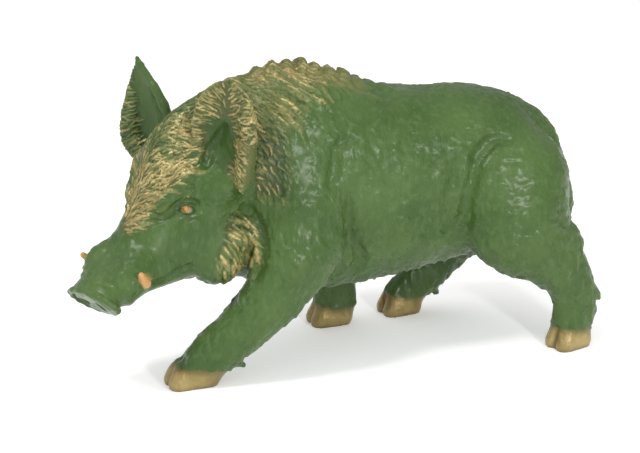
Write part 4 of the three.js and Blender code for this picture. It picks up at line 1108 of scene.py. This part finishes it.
def boar_paint():
    mat = bpy.data.materials.new("painted_resin")
    mat.use_nodes = True
    nt = mat.node_tree
    nt.nodes.clear()
    add = nt.nodes.new
    link = nt.links.new
    out = add("ShaderNodeOutputMaterial")
    bsdf = add("ShaderNodeBsdfPrincipled")
    link(bsdf.outputs[0], out.inputs[0])
    coord = add("ShaderNodeTexCoord")

    def attribute(name):
        n = add("ShaderNodeAttribute")
        n.attribute_name = name
        return n.outputs["Fac"]

    def noise_tex(scale, detail=4.0, rough=0.55, stretch=None):
        n = add("ShaderNodeTexNoise")
        fill(n, {"Scale": scale, "Detail": detail, "Roughness": rough})
        place = coord.outputs["Object"]
        if stretch:
            m = add("ShaderNodeMapping")
            fill(m, {"Scale": stretch})
            link(place, m.inputs["Vector"])
            place = m.outputs[0]
        link(place, n.inputs["Vector"])
        return n.outputs["Fac"]

    def ramp(value, low, high, to_low=0.0, to_high=1.0):
        n = add("ShaderNodeMapRange")
        fill(n, {"From Min": low, "From Max": high, "To Min": to_low, "To Max": to_high})
        link(value, n.inputs["Value"])
        return n.outputs["Result"]

    def maths(op, a, b):
        n = add("ShaderNodeMath")
        n.operation = op
        n.use_clamp = op in ("MULTIPLY", "ADD")
        for i, v in enumerate((a, b)):
            if isinstance(v, (int, float)):
                n.inputs[i].default_value = v
            else:
                link(v, n.inputs[i])
        return n.outputs[0]

    def mix(fac, a, b):
        n = add("ShaderNodeMix")
        n.data_type = "RGBA"
        for i, v in ((6, a), (7, b)):
            if isinstance(v, tuple):
                n.inputs[i].default_value = (*v, 1)
            else:
                link(v, n.inputs[i])
        if isinstance(fac, float):
            n.inputs[0].default_value = fac
        else:
            link(fac, n.inputs[0])
        return n.outputs[2]

    def bump(strength, distance, height, under=None):
        n = add("ShaderNodeBump")
        fill(n, {"Strength": strength, "Distance": distance})
        link(height, n.inputs["Height"])
        if under is not None:
            link(under, n.inputs["Normal"])
        return n.outputs[0]

    green = mix(ramp(noise_tex(28, 5), 0.36, 0.64), (0.037, 0.078, 0.0145), (0.061, 0.110, 0.0265))
    streaks = ramp(noise_tex(1.0, 4, 0.6, (300, 300, 150)), 0.50, 0.74, 0.0, 0.55)
    green = mix(streaks, green, (0.090, 0.148, 0.054))
    # Painted shade: the green is darkened where the painted shade attribute is high.
    green = mix(maths("MULTIPLY", attribute("painted_shade_and_rims"), 0.7), green, (0.016, 0.034, 0.010))
    gold_tone = mix(ramp(noise_tex(90, 4), 0.35, 0.65), (0.33, 0.24, 0.095), (0.62, 0.48, 0.22))
    gold_fac = maths("MULTIPLY", attribute("gold"), ramp(noise_tex(480, 3), 0.34, 0.54, 0.4, 1.0))
    dust = maths("MULTIPLY", attribute("dusted"), 0.28)
    colour = mix(dust, green, (0.26, 0.19, 0.07))
    colour = mix(gold_fac, colour, gold_tone)
    hoof_tone = mix(ramp(noise_tex(60, 4), 0.35, 0.65), (0.22, 0.165, 0.06), (0.36, 0.28, 0.115))
    # Darker hoof rims, with painted shade along the sole and in the cleft.
    hoof_tone = mix(maths("MULTIPLY", attribute("painted_shade_and_rims"), 0.6), hoof_tone, (0.10, 0.06, 0.022))
    colour = mix(attribute("hoof"), colour, hoof_tone)
    colour = mix(attribute("tusk"), colour, (0.48, 0.27, 0.095))
    eye_tone = mix(ramp(noise_tex(420, 2), 0.42, 0.58), (0.22, 0.085, 0.02), (0.50, 0.29, 0.09))
    colour = mix(attribute("eye"), colour, eye_tone)
    link(colour, bsdf.inputs["Base Color"])
    metal = maths("MULTIPLY", maths("MAXIMUM", gold_fac, attribute("hoof")), 0.5)
    link(metal, bsdf.inputs["Metallic"])
    fill(bsdf, {"Roughness": 0.36, "IOR": 1.2})
    fill(bsdf, {"Coat Weight": 0.55, "Coat IOR": 1.35, "Coat Roughness": 0.29})
    fine = bump(0.6, 0.0003, noise_tex(650, 3, 0.6))
    fur = bump(1.0, 0.0009, noise_tex(1.0, 3, 0.6, (420, 420, 190)), fine)
    link(fur, bsdf.inputs["Normal"])
    return mat


boar.data.materials.clear()
boar.data.materials.append(boar_paint())
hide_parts("boar_figure")
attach(boar, "root")


# Floor, light and camera.
def stage():
    bpy.ops.mesh.primitive_plane_add(size=8)
    floor = bpy.context.object
    floor.name = "floor"
    mat = bpy.data.materials.new("floor")
    mat.use_nodes = True
    bsdf = mat.node_tree.nodes["Principled BSDF"]
    fill(bsdf, {"Roughness": 0.9, "Emission Color": (1, 1, 1, 1), "Emission Strength": 0.2})
    tex = mat.node_tree.nodes.new("ShaderNodeTexNoise")
    tex.inputs["Scale"].default_value = 3
    tone = mat.node_tree.nodes.new("ShaderNodeMix")
    tone.data_type = "RGBA"
    tone.inputs[6].default_value = (0.93, 0.93, 0.93, 1)
    tone.inputs[7].default_value = (0.95, 0.95, 0.95, 1)
    mat.node_tree.links.new(tex.outputs["Fac"], tone.inputs[0])
    mat.node_tree.links.new(tone.outputs[2], bsdf.inputs["Base Color"])
    floor.data.materials.append(mat)

    world = bpy.data.worlds.new("studio") if not bpy.context.scene.world else bpy.context.scene.world
    bpy.context.scene.world = world
    world.use_nodes = True
    # Softer light from behind and near the horizon than from above and in front.
    nodes, link = world.node_tree.nodes, world.node_tree.links.new
    nodes["Background"].inputs[0].default_value = (1, 1, 1, 1)
    way = nodes.new("ShaderNodeTexCoord")
    towards = nodes.new("ShaderNodeVectorMath")
    towards.operation = "DOT_PRODUCT"
    towards.inputs[1].default_value = (-0.2, -0.25, 0.95)
    link(way.outputs["Generated"], towards.inputs[0])
    level = nodes.new("ShaderNodeMapRange")
    fill(level, {"From Min": -0.2, "From Max": 0.9, "To Min": 0.44, "To Max": 1.12})
    link(towards.outputs["Value"], level.inputs["Value"])
    link(level.outputs["Result"], nodes["Background"].inputs[1])

    def lamp(name, where, target, size, power):
        data = bpy.data.lights.new(name, "AREA")
        data.shape = "DISK"
        data.size = size
        data.energy = power
        obj = bpy.data.objects.new(name, data)
        obj.location = where
        obj.rotation_euler = (Vector(target) - Vector(where)).to_track_quat("-Z", "Y").to_euler()
        bpy.context.scene.collection.objects.link(obj)

    lamp("top", (-0.6, -0.25, 1.0), (-0.05, 0, 0.1), 0.2, 5)
    lamp("glint", (0.30, -1.35, 0.50), (0.02, 0, 0.12), 0.16, 8)


def camera():
    azimuth, elevation, distance = math.radians(-17), math.radians(20), 1.3
    level = math.cos(elevation)
    back = Vector((math.sin(azimuth) * level, -math.cos(azimuth) * level, math.sin(elevation)))
    right = Vector((math.cos(azimuth), math.sin(azimuth), 0))
    up = back.cross(right)
    target = Vector((0.0015, 0.00075, 0.09)) - right * 0.00625 - up * 0.0072
    data = bpy.data.cameras.new("camera")
    data.lens = 117
    data.sensor_width = 36
    data.clip_end = 20
    cam = bpy.data.objects.new("camera", data)
    cam.location = target + back * distance
    cam.rotation_euler = back.to_track_quat("Z", "Y").to_euler()
    bpy.context.scene.collection.objects.link(cam)
    bpy.context.scene.camera = cam


stage()
camera()
bpy.context.scene.view_settings.view_transform = "Standard"

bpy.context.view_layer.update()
